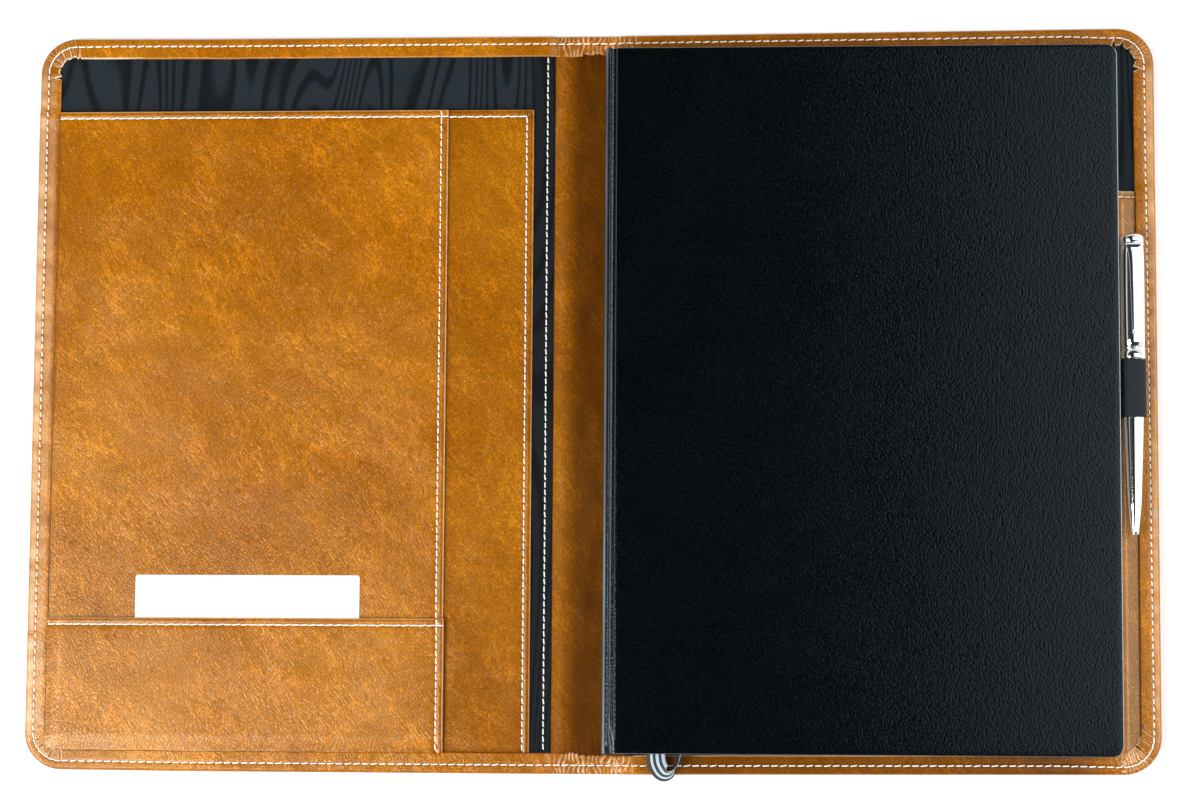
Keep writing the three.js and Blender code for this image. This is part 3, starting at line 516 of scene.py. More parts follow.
def striped_ribbon():
    """A woven band with lengthwise black and white stripes on its face, and a back painted black as shade."""
    material, tree, shader = new_material("striped_ribbon")
    share = math_node(tree, "MULTIPLY_ADD", attribute(tree, "across"), 0.5, 0.5)
    black, white = srgb(10, 13, 17), srgb(184, 200, 210)
    stops = [(0.0, black), (0.19, white), (0.32, black), (0.48, white), (0.63, black), (0.79, white)]
    stripes = ramp(tree, share, stops, "CONSTANT")
    weave = noise(tree, rest_place(tree), 2400.0, 2.0)
    colour = mix(tree, math_node(tree, "MULTIPLY", weave, 0.25), stripes, srgb(110, 110, 110))
    tree.links.new(colour, shader.inputs["Base Color"])
    tree.links.new(bump(tree, weave, 0.0001, 0.6), shader.inputs["Normal"])
    shader.inputs["Roughness"].default_value = 0.6
    return material


def grey_board():
    """Pulp board with short fibres."""
    material, tree, shader = new_material("grey_board")
    fibres = noise(tree, object_place(tree), 700.0, 5.0)
    colour = ramp(tree, fibres, [(0.3, srgb(120, 112, 98)), (0.7, srgb(160, 150, 134))])
    tree.links.new(colour, shader.inputs["Base Color"])
    shader.inputs["Roughness"].default_value = 0.9
    return material


LEATHER_LOOK = tan_leather()
THREAD_LOOK = thread()
CLOTH_LOOK = moire_cloth()
CASING_LOOK = leatherette()
PAPER_LOOK = paper("book_paper", srgb(232, 226, 208), srgb(245, 241, 228))
EDGE_LOOK = paper("page_edges", srgb(214, 207, 188), srgb(244, 240, 226), 700.0)
BLACK_PAPER_LOOK = paper("black_paper", srgb(22, 24, 28), srgb(34, 36, 42))
CARD_LOOK = paper("white_card", srgb(246, 246, 244), srgb(252, 252, 251))
CHROME_LOOK = metal("chrome_plate", srgb(235, 236, 238), 0.07)
BRASS_LOOK = metal("turned_brass", srgb(196, 160, 96), 0.25)
ELASTIC_LOOK = elastic()
RIBBON_LOOK = striped_ribbon()
BOARD_LOOK = grey_board()


# Camera, lights and floor


def add_camera():
    """A camera over the folder, with its top towards the head."""
    place, target = Vector(CAMERA_AT) * MM, Vector(CAMERA_TARGET) * MM
    forward = (target - place).normalized()
    right = forward.cross(Vector((0, 1, 0))).normalized()
    up = right.cross(forward)
    facing = Matrix((right, up, -forward)).transposed().to_4x4()
    data = bpy.data.cameras.new("camera")
    data.lens = CAMERA_LENS
    data.clip_start, data.clip_end = 0.05, 20.0
    camera = bpy.data.objects.new("camera", data)
    roll = Matrix.Rotation(math.radians(CAMERA_ROLL), 4, "Z")
    camera.matrix_world = Matrix.Translation(place) @ facing @ roll
    bpy.context.scene.collection.objects.link(camera)
    bpy.context.scene.camera = camera


def add_area_light(name, place, size, power, target=(0.0, 0.0, 0.0)):
    """A softbox at a place in millimetres, turned to a target."""
    data = bpy.data.lights.new(name, "AREA")
    data.shape = "RECTANGLE"
    data.size, data.size_y = size[0] * MM, size[1] * MM
    data.energy = power
    light = bpy.data.objects.new(name, data)
    light.location = Vector(place) * MM
    direction = (Vector(target) - Vector(place)).normalized()
    light.rotation_mode = "QUATERNION"
    light.rotation_quaternion = direction.to_track_quat("-Z", "Y")
    bpy.context.scene.collection.objects.link(light)


def add_world():
    """A studio with a dark ceiling and pale walls."""
    world = bpy.data.worlds.new("studio")
    bpy.context.scene.world = world
    world.use_nodes = True
    tree = world.node_tree
    direction = node(tree, "TexCoord").outputs["Generated"]
    rise = node(tree, "SeparateXYZ", {"Vector": direction}).outputs["Z"]
    walls, ceiling = grey(0.9), grey(0.03)
    room = ramp(tree, rise, [(0.0, walls), (0.48, walls), (0.64, grey(0.05)), (1.0, ceiling)])
    tree.links.new(room, tree.nodes["Background"].inputs["Color"])
    tree.nodes["Background"].inputs["Strength"].default_value = 1.0


def add_floor():
    """A white table that glows just enough to stay white where nothing shades it."""
    size, drop = 3000.0, 0.3
    plane = [(-size, -size, -drop), (size, -size, -drop), (size, size, -drop), (-size, size, -drop)]
    material, tree, shader = new_material("white_table")
    speck = noise(tree, object_place(tree), 40.0)
    tree.links.new(ramp(tree, speck, [(0.3, grey(0.86)), (0.7, grey(0.88))]), shader.inputs["Base Color"])
    shader.inputs["Roughness"].default_value = 0.8
    shader.inputs["Specular IOR Level"].default_value = 0.1
    seen = node(tree, "LightPath")
    shown = math_node(tree, "MAXIMUM", seen.outputs["Is Camera Ray"], seen.outputs["Is Glossy Ray"])
    shader.inputs["Emission Color"].default_value = (1.0, 1.0, 1.0, 1.0)
    tree.links.new(math_node(tree, "MULTIPLY", shown, 0.22), shader.inputs["Emission Strength"])
    make_mesh("floor", plane, [[0, 1, 2, 3]], material)


bpy.context.scene.view_settings.view_transform = "Standard"
add_camera()
add_world()
add_floor()
CEILING = 1300.0
add_area_light("left_softbox", (-910, -560, CEILING), (760, 760), 30.0)
add_area_light("right_softbox", (1300, 150, CEILING), (1100, 1000), 16.2, (1300, 150, 0))
add_area_light("right_wall", (1320, 60, 720), (500, 1100), 4.0, (215, 0, 10))
add_area_light("right_card", (530, 150, CEILING), (440, 1000), 2.0, (530, 150, 0))


# Ribbon marker

RIBBON_WIDTH = 8.0
RIBBON_THICKNESS = 0.4
# Over which share of its length it turns on edge, and by how many degrees
RIBBON_TURN = (0.6, 0.88)
RIBBON_TWIST = 106.0
RIBBON_ROUTE = [
    (30.0, -128.0, 11.9), (30.0, -138.0, 11.9), (30.0, -147.2, 11.9), (30.0, -149.8, 11.75),
    (30.0, -152.0, 11.2), (30.2, -154.8, 9.8), (31.2, -157.6, 8.5), (33.2, -159.9, 8.2),
    (35.6, -160.0, 8.4), (37.3, -158.0, 8.8), (38.6, -155.0, 9.3), (39.4, -151.8, 9.7),
    (39.7, -149.1, 10.0),
]


def ribbon_marker():
    """A flat band that leaves the pages at the tail, turns over on edge in its loop and comes back."""
    line = smooth_line(RIBBON_ROUTE, 0.5)
    shares = np.linspace(-1, 1, 15)
    half, thin = RIBBON_WIDTH / 2, RIBBON_THICKNESS / 2
    section = [(share, -thin * (1 - share ** 8)) for share in shares]
    section += [(share, thin * (1 - share ** 8)) for share in shares[-2:0:-1]]
    rings, across = [], []
    for place, middle in enumerate(line):
        forward = line[min(place + 1, len(line) - 1)] - line[max(place - 1, 0)]
        forward /= np.linalg.norm(forward)
        flat = np.cross((0, 0, 1), forward)
        flat /= np.linalg.norm(flat)
        upright = np.cross(forward, flat)
        turn = smoothstep(*RIBBON_TURN, place / (len(line) - 1)) * math.radians(RIBBON_TWIST)
        wide = flat * math.cos(turn) + upright * math.sin(turn)
        thick = np.cross(forward, wide)
        rings.append([middle + wide * share * half + thick * lift for share, lift in section])
        # The back takes the black of the edge stripe: painted shade inside the loop.
        across.append([share if lift >= 0 else -1.0 for share, lift in section])
    piece = rings_mesh("ribbon_band", rings, RIBBON_LOOK, across=np.array(across))
    hand_over(piece, "striped_ribbon", "ribbon_marker", body="notebook")


ribbon_marker()


# Outer leather

SIDES = {-1: "left", 1: "right"}
CENTRE_X = HALF_WIDTH - CORNER_RADIUS
CENTRE_Y = HALF_HEIGHT - CORNER_RADIUS
FINE_SPINE = 23.0
FINE_CORNER = 3.6
FINE_STEP = 0.3
WIDE_STEP = 2.4
GATHER_PITCH = 2.1
GATHER_MIDDLE, GATHER_REACH = 3.0, 17.5
DEGREES_PER_MM = 4.5

# Cuts in the leather turned in at each corner: how far round it in degrees from the head or tail edge, how
# many degrees it leans per mm inwards, half its width in degrees at the open end (0 for a closed slit), and
# how far from the cover's edge it reaches
CORNER_CUTS = {
    ("left", 1): [
        (-5.5, 0.0, 2.0, 6.7), (16.0, 0.0, 1.4, 6.9), (34.0, 0.0, 2.4, 7.1), (51.0, 0.0, 1.5, 7.4),
        (68.0, 0.0, 3.0, 6.3), (97.0, 0.0, 3.0, 6.0),
    ],
    ("left", -1): [
        (0.0, 0.6, 0.0, 4.2), (26.0, -0.5, 0.0, 4.4), (55.0, 0.4, 0.0, 4.2), (90.0, 4.4, 0.0, 4.2),
    ],
    ("right", 1): [
        (-5.0, 0.0, 4.6, 4.2), (15.5, 0.0, 5.0, 4.8), (40.0, 0.0, 4.4, 5.6), (57.0, 0.0, 2.0, 6.4),
        (76.0, 0.0, 4.2, 5.0), (98.0, 0.0, 5.0, 5.2),
    ],
    ("right", -1): [
        (-4.0, -2.2, 0.0, 4.2), (53.0, 0.0, 2.4, 6.0), (74.0, 2.4, 0.0, 4.4), (94.0, 3.6, 0.0, 4.6),
    ],
}
# Where the leather is pleated at each corner, from and to in degrees, and how deeply
PLEATS = {
    ("left", 1): (0.0, 66.0, 1.0),
    ("left", -1): (0.0, 88.0, 0.2),
    ("right", 1): (38.0, 72.0, 0.8),
    ("right", -1): (2.0, 53.0, 1.7),
}
# How much further in the leather reaches at each corner
CORNER_REACH = {("left", 1): -0.8, ("left", -1): 0.0, ("right", 1): -0.8, ("right", -1): 1.0}
# How pale the cut edge is along the head and tail, where it lies over cloth; below 0 it is a painted
# shadow line
CUT_EDGE_AND_SHADOW = {("left", 1): 0.8, ("left", -1): -0.4, ("right", 1): 0.8, ("right", -1): 0.65}
# The rounded cut of the turned-in leather: how far back from the cut, how far up, and how much of its pale
# edge or painted shadow line
ROUNDED_CUT = [(1.0, 0.0, 0.0), (0.6, -0.02, 0.0), (0.38, -0.06, 0.9), (0.06, -0.35, 1.0), (0.0, -0.7, 0.6)]
# How far the open cover lies out of line from head to tail, at places across it
SAG_AT = (-240.0, -170.0, 20.0, 238.0)
SAG = (0.0, -0.5, -0.5, 1.0)
# Over which stretch the stitches step further in: towards a side, and towards the head or tail
TOWARDS_SIDE = (195.0, 228.0)
TOWARDS_END = (120.0, 150.0)


def bend(piece):
    """Bakes the piece's place into its mesh."""
    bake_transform(piece)


def cover_columns(side):
    """Places across one half, from the middle of the spine outwards, closest at the folds and the corners."""
    fine = spaced(SPINE_MIDDLE, side * FINE_SPINE, FINE_STEP)
    coarse = spaced(side * FINE_SPINE, side * (CENTRE_X - FINE_CORNER), WIDE_STEP)
    near = spaced(side * (CENTRE_X - FINE_CORNER), side * CENTRE_X, FINE_STEP)
    return np.concatenate([fine, coarse[1:], near[1:]])


def cover_rows():
    """Places from head to tail between the corners, closest beside them."""
    near = spaced(CENTRE_Y, CENTRE_Y - FINE_CORNER, FINE_STEP)
    coarse = spaced(CENTRE_Y - FINE_CORNER, -CENTRE_Y + FINE_CORNER, WIDE_STEP)
    return np.concatenate([near, coarse[1:-1], -near[::-1]])


def cover_stations(side):
    """Places round the edge of one half: the point that lies a corner radius inside the edge, the way out,
    and how far round the nearest corner it is, in degrees."""
    stations = []
    columns, angles = cover_columns(side), np.linspace(0, math.pi / 2, 91)[1:-1]
    for x in columns:
        stations.append(((x, CENTRE_Y), (0, 1), (abs(x) - CENTRE_X) * DEGREES_PER_MM))
    for angle in angles:
        out = (side * math.sin(angle), math.cos(angle))
        stations.append(((side * CENTRE_X, CENTRE_Y), out, math.degrees(angle)))
    for y in cover_rows():
        stations.append(((side * CENTRE_X, y), (side, 0), 90 + (CENTRE_Y - abs(y)) * DEGREES_PER_MM))
    for angle in angles:
        out = (side * math.cos(angle), -math.sin(angle))
        stations.append(((side * CENTRE_X, -CENTRE_Y), out, 90 - math.degrees(angle)))
    for x in columns[::-1]:
        stations.append(((x, -CENTRE_Y), (0, -1), (abs(x) - CENTRE_X) * DEGREES_PER_MM))
    inner, outward, turn = zip(*stations)
    return np.array(inner), np.array(outward), np.array(turn)


def sag(x):
    """How far the open cover lies out of line at a place across it."""
    return np.interp(x, SAG_AT, SAG)


def stitch_inset(x, y):
    """How far from the edge the stitches run."""
    right, left = (smoothstep(*TOWARDS_SIDE, sign * x) for sign in (1, -1))
    head, tail = (smoothstep(*TOWARDS_END, sign * y) for sign in (1, -1))
    ends = 0.2 * head + 0.5 * tail
    sides = 0.5 * left + right * (0.5 + 0.5 * np.clip(y / 140, -1, 1))
    return RIM_STITCH + np.maximum(ends * (1 - right), sides)


def rim_height(side, x, y):
    """How high the turned-in leather lies: low over the spine, higher over a board, highest over a pocket."""
    if side < 0:
        on_board = smoothstep(LEFT_FOLD - 1.0, LEFT_FOLD - 6.0, x)
        on_pocket = smoothstep(BACK_POCKET_EDGE + 2.0, BACK_POCKET_EDGE - 2.0, x)
        pocket_top = POCKET_TOP
    else:
        on_board = smoothstep(RIGHT_FOLD + 4.0, RIGHT_FOLD + 11.0, x)
        on_pocket = smoothstep(SLIP_FLANGE - 12.0, SLIP_FLANGE - 9.0, x)
        pocket_top = SLIP_TOP
    on_pocket = on_pocket * smoothstep(pocket_top + 2.5, pocket_top - 1.5, y)
    low = SPINE_RIM + (LOW_RIM - SPINE_RIM) * on_board
    return low + (HIGH_RIM - LOW_RIM) * on_pocket


def turn_in_reach(side, edge, turn, over_spine):
    """How far in the turned-in leather reaches at each station, before its cuts."""
    name = SIDES[side]
    at_corner = smoothstep(-2.0, 4.0, turn) * smoothstep(92.0, 86.0, turn)
    share = np.clip(turn / 90, 0, 1)
    reach = TURN_IN[name] * share + TURN_IN[name + "_ends"] * (1 - share)
    reach = reach + at_corner * np.where(edge[:, 1] > 0, CORNER_REACH[name, 1], CORNER_REACH[name, -1])
    reach = reach + 0.3 * at_corner * ripple(turn, 0.0, 27.0, side)
    return reach + 0.35 * over_spine * ripple(edge[:, 0], edge[:, 1], 5.0, 12)


def cut_in(side, edge, turn, reach):
    """The reach with its open cuts: at each it falls back to the cut's depth."""
    width = reach.copy()
    for y_side in (1, -1):
        for place, _, half, depth in CORNER_CUTS[SIDES[side], y_side]:
            if half:
                gap = np.abs(turn - place) / half + 100 * (edge[:, 1] * y_side < 0)
                width = np.minimum(width, depth + (reach - depth) * np.minimum(gap, 1) ** 0.6 + 9 * (gap > 1))
    return width


def rim_section():
    """The section of the cover's edge, from under it to the top: how far in, how high, the share of the rim's
    own height in it, and how much of the pleats and gathers it shows."""
    section = [(inset, 0.0, 0.0, 0.0) for inset in (CORNER_RADIUS, 13.0, 9.0, 5.5, 3.0)]
    for across, up in arc((0.0, 0.0), EDGE_ROUND, 0.0, 90.0, 5)[1:]:
        section.append((EDGE_ROUND - up, EDGE_ROUND - across, 0.0, 0.2))
    for step, (across, up) in enumerate(arc((0.0, 0.0), EDGE_ROUND, 0.0, 90.0, 5)):
        section.append((EDGE_ROUND - across, up - EDGE_ROUND, 1.0, 0.3 + 0.14 * step))
    for inset in (1.9, 2.5, 2.9, 3.3, 3.7, 4.1, 4.6, 5.2, 5.8, 6.4, 7.0):
        section.append((inset, 0.0, 1.0, 1.0))
    return section


def outer_leather(side):
    """One half of the cover: the underside, the rounded edge and the leather turned in over the lining, with
    cuts and pleats at the corners and gathers over the spine."""
    name = SIDES[side]
    inner, outward, turn = cover_stations(side)
    edge = inner + outward * CORNER_RADIUS
    edge_x, edge_y = edge.T
    head = edge_y > 0
    over_spine = smoothstep(GATHER_REACH + 2, GATHER_REACH - 3, np.abs(edge_x - GATHER_MIDDLE))
    over_spine = over_spine * (np.abs(outward[:, 1]) > 0.99)
    width = cut_in(side, edge, turn, turn_in_reach(side, edge, turn, over_spine))
    top = rim_height(side, edge_x, edge_y)

    outer_side = smoothstep(88.0, 94.0, turn)
    over_pocket = edge_y < (POCKET_TOP if side < 0 else SLIP_TOP)
    near_corner = 0.12 + 0.88 * smoothstep(196.0, 208.0, np.abs(edge_x))
    at_end = np.where(head, CUT_EDGE_AND_SHADOW[name, 1] * near_corner, CUT_EDGE_AND_SHADOW[name, -1])
    # Along the outer sides the cut edge is a painted shadow line where it lies over a pocket.
    cut_edge_and_shadow = at_end * (1 - outer_side) + outer_side * np.where(over_pocket, -0.85, 0.05)
    cut_edge_and_shadow = cut_edge_and_shadow * (1 - 0.85 * over_spine)
    # Painted shade on the right cover's rims at the head and tail, between the spine and the corners.
    shaded = np.where(head, 0.34, 0.64) * (side > 0) * (1 - outer_side) * smoothstep(18.0, 34.0, edge_x)
    shaded = shaded * smoothstep(232.0, 205.0, edge_x)
    stitch = stitch_inset(edge_x, edge_y)

    rings, tones = [], []
    for inset, lift, from_top, wrinkle in rim_section():
        # Painted shade in the stitches' dent.
        dent = from_top * ridge(inset - stitch, 0.45)
        # A painted sheen on the band between the edge and the stitches, and along the left cover's outer
        # side.
        sheen_band = from_top * smoothstep(0.4, 1.2, inset) * smoothstep(stitch, stitch - 0.8, inset)
        painted_sheen = 0.22 * sheen_band * smoothstep(30.0, 130.0, turn) + 0.2 * from_top * outer_side * (side < 0)
        rim_tone = painted_sheen * (0.8 + 0.5 * ripple(edge_x, edge_y, 7.0, 4)) - 0.3 * dent - shaded * from_top
        if from_top:
            inset = np.minimum(inset, width - 1.05 - 0.02 * (7.0 - inset))
        height = top * from_top + lift - 0.18 * dent
        place, tone = rim_ring(side, edge, outward, turn, inset, height, wrinkle, over_spine)
        rings.append(place)
        tones.append(tone + rim_tone)
    for back, lift, pale in ROUNDED_CUT:
        place, tone = rim_ring(side, edge, outward, turn, width - back, top + lift, 1.0, over_spine)
        rings.append(place)
        tones.append(tone + pale * cut_edge_and_shadow - shaded * (pale == 0))
    # The wall under the cut edge is painted in full shade.
    for back in (0.1, 2.0):
        place, _ = rim_ring(side, edge, outward, turn, width - back, top - 1.0, 1.0, over_spine)
        rings.append(place)
        tones.append(np.full(len(edge), -1.0))

    columns, rows = cover_columns(side), cover_rows()
    grid_x, grid_y = np.meshgrid(columns, rows)
    under = np.stack([grid_x, grid_y, np.zeros_like(grid_x)], -1).reshape(-1, 3)
    points = np.concatenate([under, *rings])
    points[:, 1] += sag(points[:, 0])
    tone = np.concatenate([np.zeros(len(under)), *tones])
    faces = grid_faces(len(rows), len(columns), flip=side < 0)
    faces += grid_faces(len(rings), len(edge), start=len(under), flip=side > 0)
    piece = make_mesh("cover_leather_" + name, points, faces, LEATHER_LOOK, tone, weld=True)
    bend(piece)
    replaced = [name + "_outer_leather"] + (["spine_outer_leather"] if side < 0 else [])
    hand_over(piece, "tan_leather", *replaced)


def rim_ring(side, edge, outward, turn, inset, height, wrinkle, over_spine):
    """One ring of the edge's section, with its pleats and gathers, and the tone that they give it: painted
    highlights on their ridges, painted shade in their folds and in the cuts at the tail, and pale cut edges.
    """
    edge_x, edge_y = edge.T
    inset = np.broadcast_to(inset, len(edge)).astype(float)
    place = edge - outward * inset[:, None]
    pull = 0.12 * ripple(edge_x, edge_y, 26.0, 5) * wrinkle * (inset > 1.0)
    place = place - outward * np.abs(pull)[:, None]
    lift = 0.05 * ripple(place[:, 0], place[:, 1], 11.0, 1)
    drift = 0.55 * ripple(edge_x, 0.9 * inset, 9.0, 3)
    strength = over_spine * np.clip(0.55 + 0.5 * ripple(edge_x, 1.6 * inset, 8.0, 8), 0, 1)
    gather = np.abs(np.sin(math.pi * (edge_x / GATHER_PITCH + drift)))
    lift = lift - 0.3 * strength * (1 - gather)
    # Painted highlights on the gathers' ridges and painted shade in their valleys.
    tone = strength * (0.55 * np.maximum(gather - 0.75, 0) / 0.25 - 0.34 * (1 - gather) ** 1.5)
    for y_side in (1, -1):
        here = edge_y * y_side > 0
        start, end, depth = PLEATS[SIDES[side], y_side]
        pleated = here * depth * smoothstep(start - 3.0, start + 3.0, turn)
        pleated = pleated * smoothstep(end + 3.0, end - 3.0, turn)
        fold = np.abs(np.sin(math.pi * (turn / 6.5 + 0.4 * ripple(turn, 6 * inset, 30.0, 2)))) ** 0.6
        lift = lift - 0.2 * pleated * (1 - fold)
        inner = 0.4 + 0.6 * smoothstep(3.4, 4.2, inset)
        # Painted highlights on the pleats' folds and painted shade between them.
        tone = tone + inner * pleated * (0.3 * np.maximum(fold - 0.8, 0) / 0.2 - 0.4 * (1 - fold) ** 1.5)
        for cut_place, lean, half, depth in CORNER_CUTS[SIDES[side], y_side]:
            open_half = half * np.clip((inset - depth) / (8.5 - depth), 0, 1) ** 1.6
            gap = np.abs(turn - cut_place - lean * (inset - depth)) - open_half
            inside = smoothstep(depth - 0.3, depth + 0.3, inset) * here
            before = smoothstep(depth, depth - 0.4, inset) * smoothstep(3.6, 4.2, inset) * here
            if y_side > 0:
                tone = tone + ridge(gap, 1.1) * (0.85 * inside + 0.4 * before)
            else:
                # At the tail each cut is a painted shadow, with a pale cut edge beside it.
                tone = tone - 1.1 * ridge(gap, 1.0) * inside + 0.35 * ridge(gap - 2.6, 1.2) * inside
            lift = lift - 0.18 * ridge(gap, 1.3) * inside
    return np.column_stack([place, height + lift * wrinkle]), np.clip(tone, -1, 1) * (wrinkle > 0)


for half in (-1, 1):
    outer_leather(half)


# Stitching

STITCH_PITCH = 3.7
SIDE_PITCH = 3.3
LINING_PITCH = 3.2
CORNER_PITCH = 2.9
STITCH_FILL = 0.86
SIDE_FILL = 0.7
TIGHT_FILL = 1.04
STITCH_RADIUS = 0.26


def along_path(path, pitch):
    """Evenly spaced places on a line of [x, y] points, with the line's direction and the spacing there."""
    path = np.asarray(path, float)
    run = np.concatenate([[0], np.cumsum(np.linalg.norm(np.diff(path, axis=0), axis=1))])
    count = max(1, int(round(run[-1] / pitch)))
    wanted = (np.arange(count) + 0.5) * run[-1] / count
    places, ahead, behind = (
        np.stack([np.interp(wanted + shift, run, path[:, axis]) for axis in (0, 1)], -1)
        for shift in (0.0, 0.5, -0.5)
    )
    direction = ahead - behind
    return places, direction / np.linalg.norm(direction, axis=1)[:, None], np.full(count, run[-1] / count)


def stitches(name, rows, height):
    """Rows of stitches: each a short arch of thread whose ends dip into the leather. A row is its path, its
    pitch and how much of the pitch the thread fills."""
    stretches = []
    for path, pitch, fill in rows:
        stretches += [(*step, fill) for step in zip(*along_path(path, pitch))]
    ends = np.sin(np.linspace(-0.5, 0.5, 9) * math.pi)
    around = full_circle(8)
    points, faces = [], []
    for number, ((x, y), (forward_x, forward_y), length, fill) in enumerate(stretches):
        length = length * fill
        slant = 0.08 + 0.06 * math.sin(number * 2.3)
        for end in ends:
            swell = STITCH_RADIUS * (1 - end ** 8) ** 0.5 + 0.03
            shift = slant * end * length / 2
            middle_x = x + forward_x * end * length / 2 - forward_y * shift
            middle_y = y + forward_y * end * length / 2 + forward_x * shift
            base = float(height(middle_x, middle_y)) + 0.2 - 0.5 * end ** 8
            for angle in around:
                side = math.cos(angle) * swell
                points.append((
                    middle_x - forward_y * side, middle_y + forward_x * side, base + math.sin(angle) * swell,
                ))
        start = number * len(ends) * len(around)
        faces += grid_faces(len(ends), len(around), start=start, close=True, flip=True)
        faces.append([start + step for step in range(len(around))])
        last = start + (len(ends) - 1) * len(around)
        faces.append([last + step for step in reversed(range(len(around)))])
    return make_mesh(name, points, faces, THREAD_LOOK)


def rim_stitches(side):
    """The row round the edge of one half: along its ends, round its corners and along its side."""
    inner, outward, turn = cover_stations(side)
    edge = inner + outward * CORNER_RADIUS
    path = edge - outward * stitch_inset(edge[:, 0], edge[:, 1])[:, None]
    path[:, 1] += sag(path[:, 0])
    stretch = np.digitize(turn, (0.0, 90.0))
    bounds = [0, *(np.flatnonzero(np.diff(stretch)) + 1), len(path)]
    kinds = [(STITCH_PITCH, STITCH_FILL), (CORNER_PITCH, TIGHT_FILL), (SIDE_PITCH, SIDE_FILL)]
    rows = [(path[max(low - 1, 0):high], *kinds[stretch[low]]) for low, high in zip(bounds, bounds[1:])]
    piece = stitches("rim_stitching_" + SIDES[side], rows, lambda x, y: rim_height(side, x, y) - 0.1)
    bend(piece)
    hand_over(piece, "tan_leather")


for half in (-1, 1):
    rim_stitches(half)


# Gutter leather and linings

# Over which stretch towards the head and tail the gutter's gathers begin, and how far apart they are
GUTTER_GATHERS = (138.0, 152.0)
GUTTER_PITCH = 3.4
LINING_STEP = 3.0
LINING_MARGIN = 3.0
LINING_CORNER = CORNER_RADIUS - 4.0


def gutter_height(x):
    """The leather between the covers: it comes out from under each lining and dips over the folds."""
    left = smoothstep(LEFT_FOLD + 4.0, LINING_EDGE["left"] - 1.0, x)
    right = smoothstep(RIGHT_FOLD - 1.0, LINING_EDGE["right"] + 1.0, x)
    return FOLD_Z + 0.62 * np.maximum(left, right)


def gutter_leather(side):
    """One half of the leather between the covers, gathered at the head and the tail."""
    name = SIDES[side]
    columns = spaced(SPINE_MIDDLE, LINING_EDGE[name] + side * 1.6, 0.5)
    reach = HALF_HEIGHT - 1.6
    x, y = np.meshgrid(np.sort(columns), spaced(-reach, reach, 2.0))
    gathers = smoothstep(*GUTTER_GATHERS, np.abs(y)) * smoothstep(16.0, 8.0, np.abs(x))
    folds = np.abs(np.sin(math.pi * (x / GUTTER_PITCH + 0.5 * ripple(x, y, 40.0, 2))))
    top = gutter_height(x) + 0.07 * ripple(x, y * 0.35, 9.0, 4) - 0.08 * gathers * (1 - folds)
    top = np.maximum(top, FOLD_Z - 0.15)
    # Painted shade in the gathers' folds, over the whole gutter, and deepest towards the notebook.
    tone = 0.05 * ripple(x, y * 0.5, 12.0, 9) - 0.12 * gathers * (1 - folds) ** 2
    tone = tone - 0.3 - 0.5 * smoothstep(-14.0, -4.0, x) + 0.05 * smoothstep(-3.0, 6.0, x)
    piece = panel("gutter_leather_" + name, x, y, top, top - 0.7, LEATHER_LOOK, tone)
    bend(piece)
    hidden = {"left": ["left_hinge_strip", "spine_inner_leather"], "right": ["right_hinge_strip"]}
    hand_over(piece, "tan_leather", *hidden[name])


def lining(side):
    """Watermarked cloth glued over a cover's board, with its edge folded under beside the gutter."""
    name = SIDES[side]
    low, high = corners(name + "_lining")
    free = LINING_EDGE[name]
    far = low[0] if side < 0 else high[0]
    columns = edged(min(free, far), max(free, far), LINING_STEP, start_free=side > 0, end_free=side < 0)
    rows = spaced(low[1] + LINING_MARGIN, high[1] - LINING_MARGIN, LINING_STEP)
    if side < 0:
        beside = np.array([-0.4, 0.0, 0.4, 0.9, 1.5, 2.3, 3.2])
        columns = with_rows(columns, BACK_POCKET_EDGE + beside)
        rows = with_rows(rows, POCKET_TOP + beside)
    x, y = np.meshgrid(columns, rows)
    past = np.clip(np.abs(y) - CENTRE_Y, 0, LINING_CORNER)
    limit = CENTRE_X + np.sqrt(LINING_CORNER ** 2 - past ** 2)
    x = np.where(np.abs(x) > limit, side * limit, x)
    top = high[2] + 0.03 * ripple(x, y, 30.0, 6) - 0.2 * np.clip(1 - np.abs(x - free) / 0.5, 0, 1) ** 2
    # Painted shadow beside the back pocket's right edge and its top, and the strip right of the pocket darker
    # all along.
    shade = np.zeros_like(x)
    if side < 0:
        beyond = np.maximum(x - BACK_POCKET_EDGE, y - POCKET_TOP)
        shade = np.maximum(np.exp(-np.clip(beyond, 0, 9) / 1.1), 0.7 * (x > BACK_POCKET_EDGE + 0.1))
    piece = panel("lining_cloth_" + name, x, y, top, np.full_like(top, low[2]), CLOTH_LOOK, -0.8 * shade)
    hand_over(piece, "moire_lining", name + "_lining", body=name + "_cover")


for half in (-1, 1):
    gutter_leather(half)
    lining(half)

LINING_STITCH_X = LINING_EDGE["left"] - 3.3
LINING_STITCH_END = -WINDOW_LOW - 0.5
lining_path = [(LINING_STITCH_X, -LINING_STITCH_END), (LINING_STITCH_X, LINING_STITCH_END)]
lining_row = stitches(
    "lining_stitching", [(lining_path, LINING_PITCH, STITCH_FILL)], lambda x, y: LINING_TOP - 0.1,
)
hand_over(lining_row, "tan_leather", body="left_cover")


# Pockets of the left cover

POCKET_STITCH = 3.1
POCKET_TOP_STITCH = 3.0
POCKET_WAVE = 0.05
POCKET_STEP = 2.6
SEAM_TUCK = 1.0
# Rows of points across a seam's dent, and past the edge of the layer above
SEAM_ROWS = np.array([-1.2, -0.6, 0, 0.6, 1.2])
SHADE_ROWS = np.array([-0.3, 0.1, 0.4, 0.8, 1.4, 2.2])


def cut_drop(gap, radius=0.45):
    """How far a cut edge is rounded down, at a gap from it."""
    near = np.clip(1 - gap / radius, 0, 1)
    return radius * (1 - np.sqrt(np.maximum(1 - near * near, 0)))


